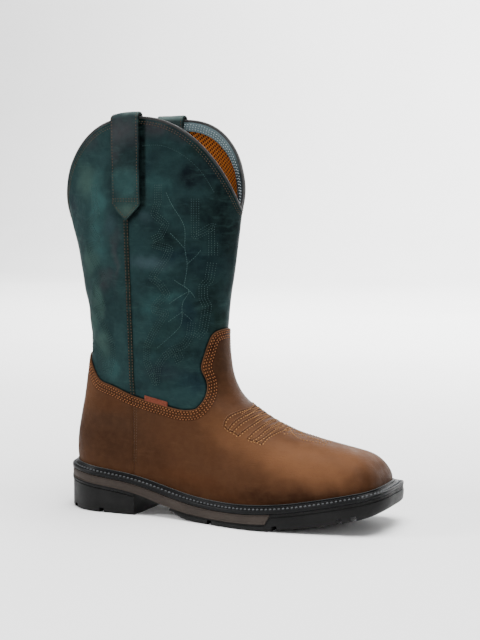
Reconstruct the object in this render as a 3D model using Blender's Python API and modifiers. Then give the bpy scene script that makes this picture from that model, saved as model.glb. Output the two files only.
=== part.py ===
"""Western work boot for the right foot: a pull-on boot with a square toe.

Units are metres, +X points to the toe, +Z up, and -Y is the outer side of the foot.
The last's own surface, boot_surface(), carries the upper and everything cut from it.
The sole pieces follow the feather line, where the upper meets the welt.
"""

import math

import bmesh
import bpy
import numpy as np
from mathutils import Matrix, Vector
from mathutils.bvhtree import BVHTree

# Driving sizes
LAST_LENGTH = 0.2873
HEEL_SETBACK = 0.0072
BALL_WIDTH = 0.087
HEEL_STACK = 0.036
SHAFT_WIDTH = 0.090
DIP_HEIGHT = 0.266
PEAK_HEIGHT = 0.348

# Walls, gaps and small sizes
WALL = 0.0022
OVERLAY = 0.0015
GAP = 0.0003
WELT_THICKNESS = 0.0043
WELT_SHOW_HEEL = 0.0060
WELT_SHOW_TOE = 0.0095
WELT_UNDER = 0.0035
BEAD_HEIGHT = 0.0026
BEAD_WIDTH = 0.0019
BEAD_ROUND = 0.0005
WELT_ROUND = 0.0010
WELT_FALL = 0.0016
INSOLE_THICKNESS = 0.0074
INSOLE_EASE = 0.0015
STRAP_WIDTH = 0.027
STRAP_THICKNESS = 0.0026
STRAP_RISE = 0.0056
STRAP_INSIDE = 0.050
STRAP_TIP_HEIGHT = 0.2595
STRAP_SHOULDER = 0.014
STRAP_X = 0.0753
STRAP_STAND = 0.0016
STRAP_BEND = 0.0040
STRAP_INNER_GAP = 0.0012
SEAM_X = 0.0745
SEAM_WIDTH = 0.0050
SEAM_RAISE = 0.0009
SEAM_START = 0.0020
SEAM_STOP = 0.0010
BINDING_HEIGHT = 0.0018
BINDING_PROUD = 0.0007
TAG_LENGTH = 0.022
TAG_HEIGHT = 0.0036
TAG_THICKNESS = 0.0010
TAG_START = 0.087
HEEL_BREAST = 0.0765
SHANK_START = 0.112
STRIPE_END = 0.2125
STRIPE_SLANT = 0.0050
LUG_GROOVE = 0.0055
LUG_DEPTH = 0.0042
LUG_SHIFT = 0.0020
LUG_RIB = 0.0120
MIDSOLE_GROOVE = 0.0009
MIDSOLE_INSET = 0.0002
TREAD_EASE = 0.0030
HEEL_EASE = 0.0022
HEEL_CHAMFER = 0.0018
HEEL_LIP = 0.0030

# Mesh fineness of the upper
AROUND = 24
ROWS = 20

SOLE_LENGTH = HEEL_SETBACK + LAST_LENGTH + OVERLAY + 2 * GAP + WELT_SHOW_TOE

# The last seen from above: distance from the heel as a share of the last's length,
# half width of the feather line and its sideways shift as shares of the ball width
LAST_PLAN = [
    # along, half width, shift to the inner side
    (0.00, 0.365, 0.000),
    (0.12, 0.372, 0.000),
    (0.26, 0.352, -0.006),
    (0.40, 0.345, -0.028),
    (0.53, 0.428, -0.036),
    (0.65, 0.494, -0.026),
    (0.76, 0.488, 0.002),
    (0.87, 0.430, 0.016),
    (0.95, 0.395, 0.024),
    (1.00, 0.380, 0.030),
]

# Side view of the sole: distance from the back as a share of the sole's length, then
# heights as shares of the heel stack, which ends at the top of the midsole
SOLE_SIDE = [
    # along, underside of the midsole, top of the midsole
    (0.000, 0.785, 1.000),
    (0.073, 0.742, 0.958),
    (0.149, 0.672, 0.883),
    (0.232, 0.572, 0.792),
    (0.288, 0.455, 0.690),
    (0.344, 0.312, 0.566),
    (0.394, 0.220, 0.468),
    (0.437, 0.172, 0.411),
    (0.483, 0.150, 0.376),
    (0.530, 0.141, 0.361),
    (0.609, 0.143, 0.367),
    (0.685, 0.172, 0.411),
    (0.745, 0.232, 0.474),
    (0.798, 0.312, 0.553),
    (0.854, 0.410, 0.645),
    (0.897, 0.490, 0.728),
    (0.934, 0.560, 0.800),
    (0.967, 0.630, 0.872),
    (1.000, 0.700, 0.945),
]

# Tread line of the forefoot, in the same shares
TREAD_SIDE = [
    # along, underside of the outsole
    (0.370, 0.200),
    (0.392, 0.090),
    (0.425, 0.022),
    (0.458, 0.000),
    (0.655, 0.000),
    (0.690, 0.020),
    (0.735, 0.068),
    (0.798, 0.140),
    (0.854, 0.235),
    (0.897, 0.312),
    (0.930, 0.380),
    (0.960, 0.452),
    (1.000, 0.600),
]

# Centre line of the front, from over the toe to the front dip: distance from the heel as
# a share of the last's length, height as a share of the dip's height
FRONT_LINE = [
    # along, height
    (1.000, 0.223),
    (0.950, 0.231),
    (0.890, 0.244),
    (0.830, 0.257),
    (0.770, 0.271),
    (0.710, 0.289),
    (0.655, 0.312),
    (0.613, 0.335),
    (0.573, 0.361),
    (0.545, 0.387),
    (0.522, 0.418),
    (0.505, 0.462),
    (0.495, 0.520),
    (0.491, 0.580),
    (0.495, 0.645),
    (0.508, 0.737),
    (0.526, 0.870),
    (0.539, 0.965),
    (0.546, 1.010),
]

# Centre line of the back, from the feather line up to the back dip, in the same shares
BACK_LINE = [
    # along, height
    (0.000, 0.155),
    (-0.003, 0.190),
    (-0.002, 0.235),
    (0.005, 0.290),
    (0.018, 0.365),
    (0.030, 0.450),
    (0.039, 0.530),
    (0.042, 0.580),
    (0.038, 0.640),
    (0.019, 0.740),
    (-0.003, 0.850),
    (-0.025, 0.930),
    (-0.040, 0.985),
]

# Half width of the shaft at heights above the floor
SHAFT_SIDE = [
    # height as a share of the dip's height, half width as a share of the shaft's width
    (0.18, 0.395),
    (0.34, 0.400),
    (0.45, 0.412),
    (0.56, 0.424),
    (0.75, 0.462),
    (0.92, 0.492),
    (1.10, 0.502),
    (1.35, 0.500),
]

# Top edge of the brown leather in side view, from the back to the tongue: distance from
# the heel as a share of the last's length, height as a share of the dip's height
VAMP_EDGE = [
    # along, height
    (-0.030, 0.548),
    (0.020, 0.540),
    (0.058, 0.506),
    (0.082, 0.468),
    (0.110, 0.441),
    (0.155, 0.427),
    (0.225, 0.402),
    (0.285, 0.386),
    (0.360, 0.369),
    (0.415, 0.361),
    (0.447, 0.366),
    (0.466, 0.392),
    (0.470, 0.425),
    (0.463, 0.462),
    (0.450, 0.502),
    (0.452, 0.516),
    (0.459, 0.552),
    (0.468, 0.590),
    (0.478, 0.612),
    (0.492, 0.621),
    (0.560, 0.622),
]

# Exponents of the last's roundness
TOE_DEPTH = 0.022
TUCK_HEIGHT = 0.005
INSTEP_BLEND = 0.100
TOE_LEAN = 0.009
HEEL_ROUND = 0.034
TOE_SQUARE = 6.0
PLAN_SQUARE = 2.7
SHAFT_SQUARE = 2.2
COLLAR_FRONT = 2.5
COLLAR_FRONT_OUTER = 2.3
COLLAR_BACK = 2.2
COLLAR_STEEP = 0.62


def spline(points):
    """A natural cubic through rows of (place, value), as a function of place."""
    xs, ys = (np.array(column, float) for column in zip(*points))
    n = len(xs)
    step = np.diff(xs)
    system = np.eye(n)
    right = np.zeros(n)
    for i in range(1, n - 1):
        system[i, i - 1 : i + 2] = step[i - 1], 2 * (step[i - 1] + step[i]), step[i]
        right[i] = 6 * ((ys[i + 1] - ys[i]) / step[i] - (ys[i] - ys[i - 1]) / step[i - 1])
    bend = np.linalg.solve(system, right)

    def value(x):
        x = np.clip(np.asarray(x, float), xs[0], xs[-1])
        i = np.clip(np.searchsorted(xs, x) - 1, 0, n - 2)
        h = step[i]
        a = (xs[i + 1] - x) / h
        b = (x - xs[i]) / h
        curve = ((a**3 - a) * bend[i] + (b**3 - b) * bend[i + 1]) * h * h / 6
        return a * ys[i] + b * ys[i + 1] + curve

    return value


def path(points, count=400):
    """Evenly spaced points along a smooth line through rows of (x, z)."""
    rows = np.array(points, float)
    run = np.concatenate([[0], np.cumsum(np.linalg.norm(np.diff(rows, axis=0), axis=1))])
    fine = np.linspace(0, run[-1], count)
    line = np.column_stack([spline(zip(run, rows[:, k]))(fine) for k in (0, 1)])
    reach = np.concatenate([[0], np.cumsum(np.linalg.norm(np.diff(line, axis=0), axis=1))])
    even = np.linspace(0, reach[-1], count)
    return np.column_stack([np.interp(even, reach, line[:, k]) for k in (0, 1)])


def smooth_step(value, low, high):
    t = np.clip((value - low) / (high - low), 0, 1)
    return t * t * (3 - 2 * t)


def along_last(share):
    return HEEL_SETBACK + share * LAST_LENGTH


def plan_table(column):
    return spline([(along_last(row[0]), row[column] * BALL_WIDTH) for row in LAST_PLAN])


def side_table(table, column, size):
    return spline([(row[0] * size, row[column] * HEEL_STACK) for row in table])


last_half = plan_table(1)
last_shift = plan_table(2)
midsole_under = side_table(SOLE_SIDE, 1, SOLE_LENGTH)
midsole_top = side_table(SOLE_SIDE, 2, SOLE_LENGTH)
tread_curve = side_table(TREAD_SIDE, 1, SOLE_LENGTH)
shaft_half = spline([(row[0] * DIP_HEIGHT, row[1] * SHAFT_WIDTH) for row in SHAFT_SIDE])


def tread_line(x):
    """Underside of the forefoot, flat on the floor under the ball."""
    return np.maximum(tread_curve(x), 0)


def feather_height(x):
    """Height of the upper's bottom edge, which stands on the welt."""
    return midsole_top(x) + GAP + WELT_THICKNESS + GAP


def centre_points(table):
    return [(along_last(row[0]), row[1] * DIP_HEIGHT) for row in table]


FRONT_TOP = path(centre_points(FRONT_LINE))
TURN = int(np.argmin(FRONT_TOP[:, 0]))


def ridge_height(x):
    """Height of the front's centre line over x, which soars behind the throat."""
    xs = FRONT_TOP[:TURN, 0][::-1]
    zs = FRONT_TOP[:TURN, 1][::-1]
    rise = np.clip(xs[0] - x, 0, None) * 9
    return np.interp(x, xs, zs) + rise


def section_power(x):
    """Roundness of a foot section: boxy at the toe, more like a ridge at the instep."""
    return 2.5 - 0.75 * smooth_step(along_last(0.85) - x, 0.0, INSTEP_BLEND)


def toe_profile(share):
    """The toe's wall on the centre line, from the feather line (0) to its top (1)."""
    back = TOE_DEPTH * (1 - (1 - share**2.5) ** (1 / TOE_SQUARE))
    x = along_last(1) - back - TOE_LEAN * share**2
    low = feather_height(x)
    return x, low + share * (ridge_height(x) - low)


def front_profile():
    """The whole front centre line, from the feather line to the front dip."""
    wall = [toe_profile(share) for share in np.linspace(0, 1, 60)]
    top = [point for point in FRONT_TOP if point[0] < wall[-1][0]]
    start = len(FRONT_TOP) - len(top)
    return path_through(np.vstack([wall, FRONT_TOP[start:]]))


def path_through(points, count=600):
    reach = np.concatenate([[0], np.cumsum(np.linalg.norm(np.diff(points, axis=0), axis=1))])
    even = np.linspace(0, reach[-1], count)
    return np.column_stack([np.interp(even, reach, points[:, k]) for k in (0, 1)])


def back_profile():
    points = centre_points(BACK_LINE)
    points[0] = (points[0][0], float(feather_height(points[0][0])))
    return path(points)


FRONT = front_profile()
BACK = back_profile()


def on_profile(profile, share):
    place = share * (len(profile) - 1)
    index = np.arange(len(profile))
    return [float(np.interp(place, index, profile[:, k])) for k in (0, 1)]


def foot_width(x, z, back_x):
    """Half width of the foot part at x and height z, on a ring that starts at back_x."""
    low = feather_height(x)
    level = np.clip((z - low) / (ridge_height(x) - low), 0, 1)
    toe = np.clip((x + TOE_LEAN * level**2 - along_last(1) + TOE_DEPTH) / TOE_DEPTH, 0, 1)
    heel = np.clip((HEEL_ROUND - (x - back_x)) / HEEL_ROUND, 0, 1)
    body = np.clip(1 - level ** section_power(x) - toe**TOE_SQUARE, 0, 1)
    tuck = 1 - 0.035 * np.exp(-(((z - low) / TUCK_HEIGHT) ** 2))
    bulge = 1 + 0.03 * np.sin(np.pi * np.clip(level / 0.5, 0, 1))
    return last_half(x) * body ** (1 / PLAN_SQUARE) * np.sqrt(1 - heel**2) * tuck * bulge


def collar_arch(share, front):
    """Height of the collar's scallop over a ring, from 0 at the dips to 1 at the side."""
    away = np.abs(2 * share - 1)
    power = np.where(share > 0.5, front, COLLAR_BACK)
    return np.clip(1 - away**power, 0, 1) ** COLLAR_STEEP


def ring(level, shares, front=COLLAR_FRONT):
    """One ring round the boot: level 0 is the feather line and 1 the collar's edge.

    shares run from the back (0) to the front (1), and front shapes the scallop's front
    half. Returns x, z, half width and shift.
    """
    back_x, back_z = on_profile(BACK, level)
    front_x, front_z = on_profile(FRONT, level)
    x = back_x + (front_x - back_x) * shares
    flat = back_z + (front_z - back_z) * shares
    ends = feather_height(back_x), feather_height(front_x)
    sole_bend = feather_height(x) - (ends[0] + (ends[1] - ends[0]) * shares)
    lift = smooth_step(level, 0.50, 1.0) * (PEAK_HEIGHT - DIP_HEIGHT) * collar_arch(shares, front)
    z = flat + sole_bend * (1 - smooth_step(level, 0.0, 0.42)) + lift
    shaft_part = smooth_step(level, 0.10, 0.50)
    foot = foot_width(x, z, back_x)
    oval = np.clip(1 - np.abs(2 * shares - 1) ** SHAFT_SQUARE, 0, 1) ** (1 / SHAFT_SQUARE)
    width = foot + (shaft_half(z) * oval - foot) * shaft_part
    shift = last_shift(x) * (1 - shaft_part)
    return x, z, width, shift


def ring_shares(count):
    return (1 - np.cos(np.pi * np.arange(count + 1) / count)) / 2


def level_of(row, rows):
    """Levels crowd near the feather line, where the toe's wall turns."""
    return (row / (rows - 1)) ** 1.45


def boot_surface(around=AROUND, rows=ROWS):
    """Rows of rings, each from the back along the outer side and home along the inner."""
    shares = ring_shares(around)
    grid = []
    for row in range(rows):
        level = level_of(row, rows)
        x, z, width, shift = ring(level, shares, COLLAR_FRONT_OUTER)
        outer = np.column_stack([x, shift - width, z])
        x, z, width, shift = ring(level, shares)
        inner = np.column_stack([x, shift + width, z])
        grid.append(np.vstack([outer, inner[-2:0:-1]]))
    return np.array(grid)


def normals_of(grid):
    """Outward unit normals at the points of a sheet round the boot."""
    rows, columns = grid.shape[:2]
    mesh = bpy.data.meshes.new("sheet")
    mesh.from_pydata(grid.reshape(-1, 3).tolist(), [], sheet_triangles(rows, columns))
    normals = np.array([vertex.normal[:] for vertex in mesh.vertices])
    bpy.data.meshes.remove(mesh)
    return normals.reshape(grid.shape)


def plain_material(name, colour, roughness):
    material = bpy.data.materials.new(name)
    material.use_nodes = True
    shader = material.node_tree.nodes["Principled BSDF"]
    shader.inputs["Base Color"].default_value = (*colour, 1)
    shader.inputs["Roughness"].default_value = roughness
    shader.inputs["Metallic"].default_value = 0
    return material


def make_object(name, points, faces, collection, material=None, closed=True):
    """A mesh object. A closed solid's faces are turned outward; a sheet's stay."""
    mesh = bpy.data.meshes.new(name)
    mesh.from_pydata([tuple(map(float, point)) for point in points], [], faces)
    if closed:
        work = bmesh.new()
        work.from_mesh(mesh)
        bmesh.ops.recalc_face_normals(work, faces=work.faces)
        work.to_mesh(mesh)
        work.free()
    obj = bpy.data.objects.new(name, mesh)
    collection.objects.link(obj)
    if material:
        mesh.materials.append(material)
    mesh.shade_smooth()
    mesh.set_sharp_from_angle(angle=math.radians(35))
    return obj


def grid_faces(rows, columns, closed=True):
    faces = []
    for row in range(rows - 1):
        for column in range(columns if closed else columns - 1):
            after = (column + 1) % columns
            low, high = row * columns, (row + 1) * columns
            faces.append((low + column, low + after, high + after, high + column))
    return faces


def sheet_triangles(rows, columns):
    """Triangles, so that every sheet cut from the last's surface bends alike."""
    faces = []
    for low, next_low, next_high, high in grid_faces(rows, columns):
        faces += [(low, next_low, next_high), (low, next_high, high)]
    return faces


def shell(name, grid, thickness, collection, material):
    """A closed wall on a sheet round the boot: it grows inward if thickness is negative."""
    rows, columns = grid.shape[:2]
    points, faces = grid.reshape(-1, 3), sheet_triangles(rows, columns)
    obj = make_object(name, points, faces, collection, material, False)
    wall = obj.modifiers.new("wall", "SOLIDIFY")
    wall.thickness = abs(thickness)
    wall.offset = -1 if thickness < 0 else 1
    return obj


def side_cutter(name, outline, collection, reach=SHAFT_WIDTH, y=0.0):
    """A prism along Y of a side-view outline, for cutting pieces out of a shell."""
    count = len(outline)
    points = [(x, y - reach, z) for x, z in outline] + [(x, y + reach, z) for x, z in outline]
    faces = [tuple(range(count)), tuple(range(2 * count - 1, count - 1, -1))]
    for i in range(count):
        after = (i + 1) % count
        faces.append((i, after, count + after, count + i))
    cutter = make_object(name, points, faces, collection)
    cutter.hide_render = True
    cutter.display_type = "WIRE"
    return cutter


def keep_within(obj, cutter, operation="INTERSECT"):
    cut = obj.modifiers.new("cut", "BOOLEAN")
    cut.operation = operation
    cut.object = cutter
    return obj


def box_outline(left, right, low, high):
    return [(left, low), (right, low), (right, high), (left, high)]


def make_upper(surface, collection, materials):
    return shell("upper", surface, -WALL, collection, materials["shaft_leather"])


def vamp_edge_points():
    """The brown leather's top edge, with the cusp beside the tongue kept sharp."""
    rows = centre_points(VAMP_EDGE)
    cusp = min(range(10, 18), key=lambda i: rows[i][0])
    side = path(rows[: cusp + 1], 46)
    tongue = path(rows[cusp:], 14)
    return np.vstack([side, tongue[1:]])


def edge_height(x, edge):
    """Height of the brown leather's edge behind its lowest point."""
    before = edge[: int(np.argmax(edge[:, 0] > along_last(0.44)))]
    return float(np.interp(x, before[:, 0], before[:, 1]))


def overlay_form(name, surface, normals, thickness, rows, collection, material):
    """The larger form that an overlay is cut from, a gap outside the upper."""
    sheet = surface[rows] + normals[rows] * GAP
    return shell(name, sheet, thickness, collection, material)


def bottom_line(start, end):
    """The overlays' bottom edge in side view, a gap above the feather line."""
    xs = np.linspace(start, end, 24)
    return [(x, float(feather_height(x)) + GAP) for x in xs]


def make_foot_overlays(surface, normals, collection, cutters, materials):
    """Vamp and heel counter, cut from one form at the side seams."""
    edge = vamp_edge_points()
    top = [tuple(point) for point in edge]
    seam_high = edge_height(SEAM_X, edge)
    front = [point for point in top if point[0] > SEAM_X + GAP / 2]
    first_front = (SEAM_X + GAP / 2, seam_high)
    far, near = SOLE_LENGTH + BALL_WIDTH / 2, -BALL_WIDTH / 2
    vamp_outline = [first_front, *front, (far, front[-1][1]), *bottom_line(far, first_front[0])]
    back = [point for point in top if point[0] < SEAM_X - GAP / 2]
    last_back = (SEAM_X - GAP / 2, seam_high)
    counter_outline = [*bottom_line(last_back[0], near), (near, back[0][1]), *back, last_back]
    highest = max(z for x, z in top)
    rows = slice(0, 1 + next(i for i in range(ROWS) if surface[i, :, 2].min() > highest))
    for name, outline in (("vamp", vamp_outline), ("counter", counter_outline)):
        piece = overlay_form(
            name, surface, normals, OVERLAY, rows, collection, materials["foot_leather"]
        )
        keep_within(piece, side_cutter(name + "_cutter", outline, cutters))
    return edge


def make_side_seams(surface, normals, edge, collection, cutters, materials):
    """The raised seam strips from the brown leather up to the pull straps' tips."""
    low = edge_height(SEAM_X, edge) + GAP
    high = STRAP_TIP_HEIGHT - SEAM_STOP
    half = SEAM_WIDTH / 2
    outline = box_outline(SEAM_X - half, SEAM_X + half, low + SEAM_START, high)
    reach = SHAFT_WIDTH
    for name, side in (("side_seam_outer", -1), ("side_seam_inner", 1)):
        piece = overlay_form(
            name, surface, normals, SEAM_RAISE, slice(0, ROWS), collection, materials["shaft_leather"]
        )
        cutter = side_cutter(name + "_cutter", outline, cutters, reach, side * reach)
        keep_within(piece, cutter)


def make_edge_tag(surface, normals, edge, collection, cutters, materials):
    """A bare woven tag that stands up out of the vamp's edge on the outer side."""
    xs = np.linspace(TAG_START, TAG_START + TAG_LENGTH, 6)
    lower = [(x, edge_height(x, edge) + GAP) for x in xs]
    upper = [(x, z + TAG_HEIGHT) for x, z in lower[::-1]]
    piece = overlay_form(
        "edge_tag", surface, normals, TAG_THICKNESS, slice(0, ROWS), collection, materials["tag_weave"]
    )
    cutter = side_cutter("edge_tag_cutter", lower + upper, cutters, SHAFT_WIDTH, -SHAFT_WIDTH)
    keep_within(piece, cutter)


def surface_tree(surface):
    rows, columns = surface.shape[:2]
    points = [Vector(point) for point in surface.reshape(-1, 3)]
    return BVHTree.FromPolygons(points, grid_faces(rows, columns))


def outside_at(tree, x, z, side):
    """Point and outward normal of the upper's outer face at x and z, on one side."""
    hit, normal, _, _ = tree.ray_cast(Vector((x, side * 3 * SHAFT_WIDTH, z)), Vector((0, -side, 0)))
    if normal.y * side < 0:
        normal = -normal
    return hit, normal


def collar_height(surface, x, side):
    """Height of the upper's rim over x, on one side."""
    rim = surface[-1]
    half = rim[: AROUND + 1] if side < 0 else np.vstack([rim[AROUND:], rim[:1]])[::-1]
    return float(np.interp(x, half[:, 0], half[:, 2]))


def strap_column(tree, surface, x, side, tip):
    """A strap's middle sheet at one x: up the outside, over the rim and down inside.

    The outer strap's crest follows the rim, and the inner one's is level.
    """
    rim = collar_height(surface, x, side)
    legs = STRAP_THICKNESS / 2
    points = []
    for share in (0, 0.3, 0.6, 0.85, 1):
        z = tip + (rim - STRAP_BEND - tip) * share
        hit, normal = outside_at(tree, x, z, side)
        stand = GAP + legs + STRAP_STAND * share
        points.append(hit + normal * stand)
    top_hit, top_normal = outside_at(tree, x, rim - STRAP_BEND, side)
    level = Vector((top_normal.x, top_normal.y, 0)).normalized()
    out_reach = GAP + legs + STRAP_STAND
    in_reach = WALL + GAP + legs + STRAP_INNER_GAP
    middle = (out_reach - in_reach) / 2
    radius = (out_reach + in_reach) / 2
    crest = rim if side < 0 else max(rim, collar_height(surface, STRAP_X, side))
    base = Vector((top_hit.x, top_hit.y, crest + STRAP_RISE - legs - radius))
    for angle in np.linspace(0, math.pi, 7):
        around = level * (middle + radius * math.cos(angle))
        points.append(base + around + Vector((0, 0, radius * math.sin(angle))))
    for share in (0.25, 0.6, 1):
        z = rim - STRAP_BEND - (STRAP_INSIDE - STRAP_BEND) * share
        hit, normal = outside_at(tree, x, z, side)
        points.append(hit - normal * in_reach)
    return points


def make_straps(surface, collection, materials):
    """Pull straps: a pointed outer leg, a loop over the collar and a leg inside."""
    tree = surface_tree(surface)
    columns = 5
    for name, side in (("pull_strap_outer", -1), ("pull_strap_inner", 1)):
        sheet = []
        for i in range(columns):
            across = 2 * i / (columns - 1) - 1
            x = STRAP_X + across * STRAP_WIDTH / 2
            tip = STRAP_TIP_HEIGHT + STRAP_SHOULDER * abs(across)
            sheet.append(strap_column(tree, surface, x, side, tip))
        points = [point for column in sheet for point in column]
        faces = grid_faces(columns, len(sheet[0]), closed=False)
        strap = make_object(name, points, faces, collection, materials["shaft_leather"], False)
        wall = strap.modifiers.new("wall", "SOLIDIFY")
        wall.thickness = STRAP_THICKNESS
        wall.offset = 0


def make_binding(surface, normals, collection, materials):
    """The rolled edge on the collar's rim, a closed tube round the boot."""
    rim = surface[-1]
    outward = normals[-1]
    along = np.roll(rim, -1, axis=0) - np.roll(rim, 1, axis=0)
    along /= np.linalg.norm(along, axis=1)[:, None]
    rise = np.cross(outward, along)
    rise *= np.sign(rise[:, 2:3])
    half = WALL / 2 + BINDING_PROUD
    low = 2 * GAP
    section = [
        # out from the wall's middle, up from the rim
        (half, low),
        (half, low + 0.5 * BINDING_HEIGHT),
        (0.5 * half, low + BINDING_HEIGHT),
        (-0.5 * half, low + BINDING_HEIGHT),
        (-half, low + 0.5 * BINDING_HEIGHT),
        (-half, low),
    ]
    rings = [rim + outward * (out - WALL / 2) + rise * up for out, up in section]
    closed_sweep("collar_binding", rings, collection, materials["edge_leather"])


def closed_sweep(name, rings, collection, material):
    """A closed band: the rings are its corners, each running all the way round."""
    count, columns = len(rings), len(rings[0])
    faces = []
    for i in range(count):
        for j in range(columns):
            after, turn = (i + 1) % count, (j + 1) % columns
            faces.append(
                (i * columns + j, i * columns + turn, after * columns + turn, after * columns + j)
            )
    return make_object(name, np.vstack(rings), faces, collection, material)


def last_line(height, count=AROUND):
    """The last's outline at a height above the feather line, outer side first. It
    shares the upper's columns, so that the welt's bead runs parallel to the leather."""
    shares = ring_shares(count)
    levels = np.linspace(0, 0.2, 30)
    x, z, width, shift = (np.array(part) for part in zip(*(ring(v, shares) for v in levels)))
    above = z - feather_height(x)
    columns = []
    for i in range(count + 1):
        at = [np.interp(height, above[:, i], part[:, i]) for part in (x, shift, width)]
        columns.append(at)
    x, shift, width = np.array(columns).T
    outer = np.column_stack([x, shift - width])
    inner = np.column_stack([x, shift + width])
    return np.vstack([outer, inner[-2:0:-1]])


FEATHER = last_line(0)


def welt_show(x):
    share = np.clip((x - HEEL_SETBACK) / LAST_LENGTH, 0, 1)
    return WELT_SHOW_HEEL + (WELT_SHOW_TOE - WELT_SHOW_HEEL) * share**2


def outline_out(distance, line=FEATHER):
    """A line round the boot moved outward by a distance, one number or one a point."""
    along = np.roll(line, -1, axis=0) - np.roll(line, 1, axis=0)
    out = np.column_stack([along[:, 1], -along[:, 0]])
    out /= np.linalg.norm(out, axis=1)[:, None]
    middle = line.mean(axis=0)
    if ((line - middle) * out).sum() < 0:
        out = -out
    reach = np.broadcast_to(distance, len(line))
    return line + out * reach[:, None]


LEATHER_FACE = OVERLAY + GAP
SOLE_REACH = LEATHER_FACE + GAP + welt_show(FEATHER[:, 0])


def sole_outline(inset):
    return outline_out(SOLE_REACH - inset)


def edge_halves(outline):
    """An outline's outer and inner sides, each from the back to the front."""
    front = int(np.argmax(outline[:, 0]))
    outer = outline[: front + 1]
    inner = np.vstack([outline[front:], outline[:1]])[::-1]
    return outer, inner


def places_along(outline, start, end, stations):
    """Places from start to end along the boot, kept just inside the outline's ends."""
    low = max(start, outline[:, 0].min() + GAP)
    high = min(end, outline[:, 0].max() - GAP)
    return low + (high - low) * stations


def layer_ring(outline, xs, height):
    """One ring of a sole piece over the places xs, at height(x)."""
    level = np.asarray(height(xs), float)
    rows = []
    for half in edge_halves(outline):
        order = np.maximum.accumulate(half[:, 0])
        rows.append(np.column_stack([xs, np.interp(xs, order, half[:, 1]), level]))
    return np.vstack([rows[0], rows[1][::-1]])


def stations_for(count, round_start, round_end):
    """Shares along a sole piece, crowded where its outline turns round."""
    even = np.linspace(0, 1, count)
    if round_start and round_end:
        return (1 - np.cos(np.pi * even)) / 2
    if round_start:
        return 1 - np.cos(np.pi / 2 * even)
    if round_end:
        return np.sin(np.pi / 2 * even)
    return even


def stack_solid(name, rings, collection, material):
    """A solid of stacked rings, its top and bottom closed from side to side."""
    count = len(rings[0])
    half = count // 2
    faces = grid_faces(len(rings), count)
    top = (len(rings) - 1) * count
    for i in range(half - 1):
        across = count - 1 - i
        faces.append((i, i + 1, across - 1, across))
        faces.append((top + i, top + across, top + across - 1, top + i + 1))
    return make_object(name, np.vstack(rings), faces, collection, material)


def make_midsole(collection, materials):
    """The lighter stripe from the heel to the ball, with a slanted front end."""
    stations = stations_for(26, True, False)
    levels = [
        # inset, share of the thickness
        (MIDSOLE_GROOVE, 0.0),
        (MIDSOLE_INSET, 0.12),
        (MIDSOLE_INSET, 0.88),
        (MIDSOLE_GROOVE, 1.0),
    ]
    rings = []
    for inset, share in levels:
        outline = sole_outline(inset)
        xs = places_along(outline, 0, STRIPE_END - STRIPE_SLANT * (1 - share), stations)
        low, high = midsole_under(xs), midsole_top(xs)
        rings.append(layer_ring(outline, xs, lambda x: low + share * (high - low)))
    return stack_solid("midsole", rings, collection, materials["midsole_rubber"])


def make_outsole(collection, cutters, materials):
    """The forefoot unit: it lies under the midsole, rises to the welt ahead of it, and
    carries the lugs."""
    riser = STRIPE_END - STRIPE_SLANT + GAP
    rear = np.linspace(SHANK_START, riser, 14)
    levels = [
        # inset, share of the thickness
        (TREAD_EASE, 0.0),
        (0.15 * TREAD_EASE, 0.17),
        (0.0, 0.80),
        (0.2 * TREAD_EASE, 1.0),
    ]
    rings = []
    for inset, share in levels:
        outline = sole_outline(inset)
        front = places_along(outline, riser + STRIPE_SLANT + GAP, 1, stations_for(16, False, True))
        low = tread_line(np.concatenate([rear, front]))
        high = np.concatenate([midsole_under(rear) - GAP, midsole_top(front)])
        xs = np.concatenate([rear, front])
        rings.append(layer_ring(outline, xs, lambda x: low + share * (high - low)))
    outsole = stack_solid("outsole", rings, collection, materials["sole_rubber"])
    through = [0.503, 0.706, 0.883, 0.924]
    inner = [0.573, 0.640, 0.765, 0.828]
    wide = [bar for share in through for bar in ribbed_bars(share)]
    wide += [(share * SOLE_LENGTH, -LUG_SHIFT, BALL_WIDTH * 0.72) for share in inner]
    keep_within(outsole, groove_cutter("outsole_groove_cutter", wide, cutters), "DIFFERENCE")
    return outsole


def ribbed_bars(share):
    """A groove across the tread in two bars, with a rib left between them."""
    y = (LUG_RIB + BALL_WIDTH) / 2
    return [(share * SOLE_LENGTH, -y, BALL_WIDTH), (share * SOLE_LENGTH, y, BALL_WIDTH)]


def groove_cutter(name, grooves, collection):
    """Bars across the tread, each turned to the slope of the tread line."""
    work = bmesh.new()
    for x, y, width in grooves:
        forefoot = x > SHANK_START
        low = float(tread_line(x)) if forefoot else 0.0
        reach = LUG_GROOVE / 2
        rise = float(tread_line(x + reach) - tread_line(x - reach)) if forefoot else 0.0
        slope = math.atan2(rise, LUG_GROOVE)
        made = bmesh.ops.create_cube(work, size=1)["verts"]
        bmesh.ops.scale(work, vec=(LUG_GROOVE, width, 2 * LUG_DEPTH), verts=made)
        turn = Matrix.Rotation(-slope, 3, "Y")
        bmesh.ops.rotate(work, cent=(0, 0, 0), matrix=turn, verts=made)
        bmesh.ops.translate(work, vec=(x, y, low), verts=made)
    mesh = bpy.data.meshes.new(name)
    work.to_mesh(mesh)
    work.free()
    cutter = bpy.data.objects.new(name, mesh)
    collection.objects.link(cutter)
    cutter.hide_render = True
    cutter.display_type = "WIRE"
    return cutter


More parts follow.
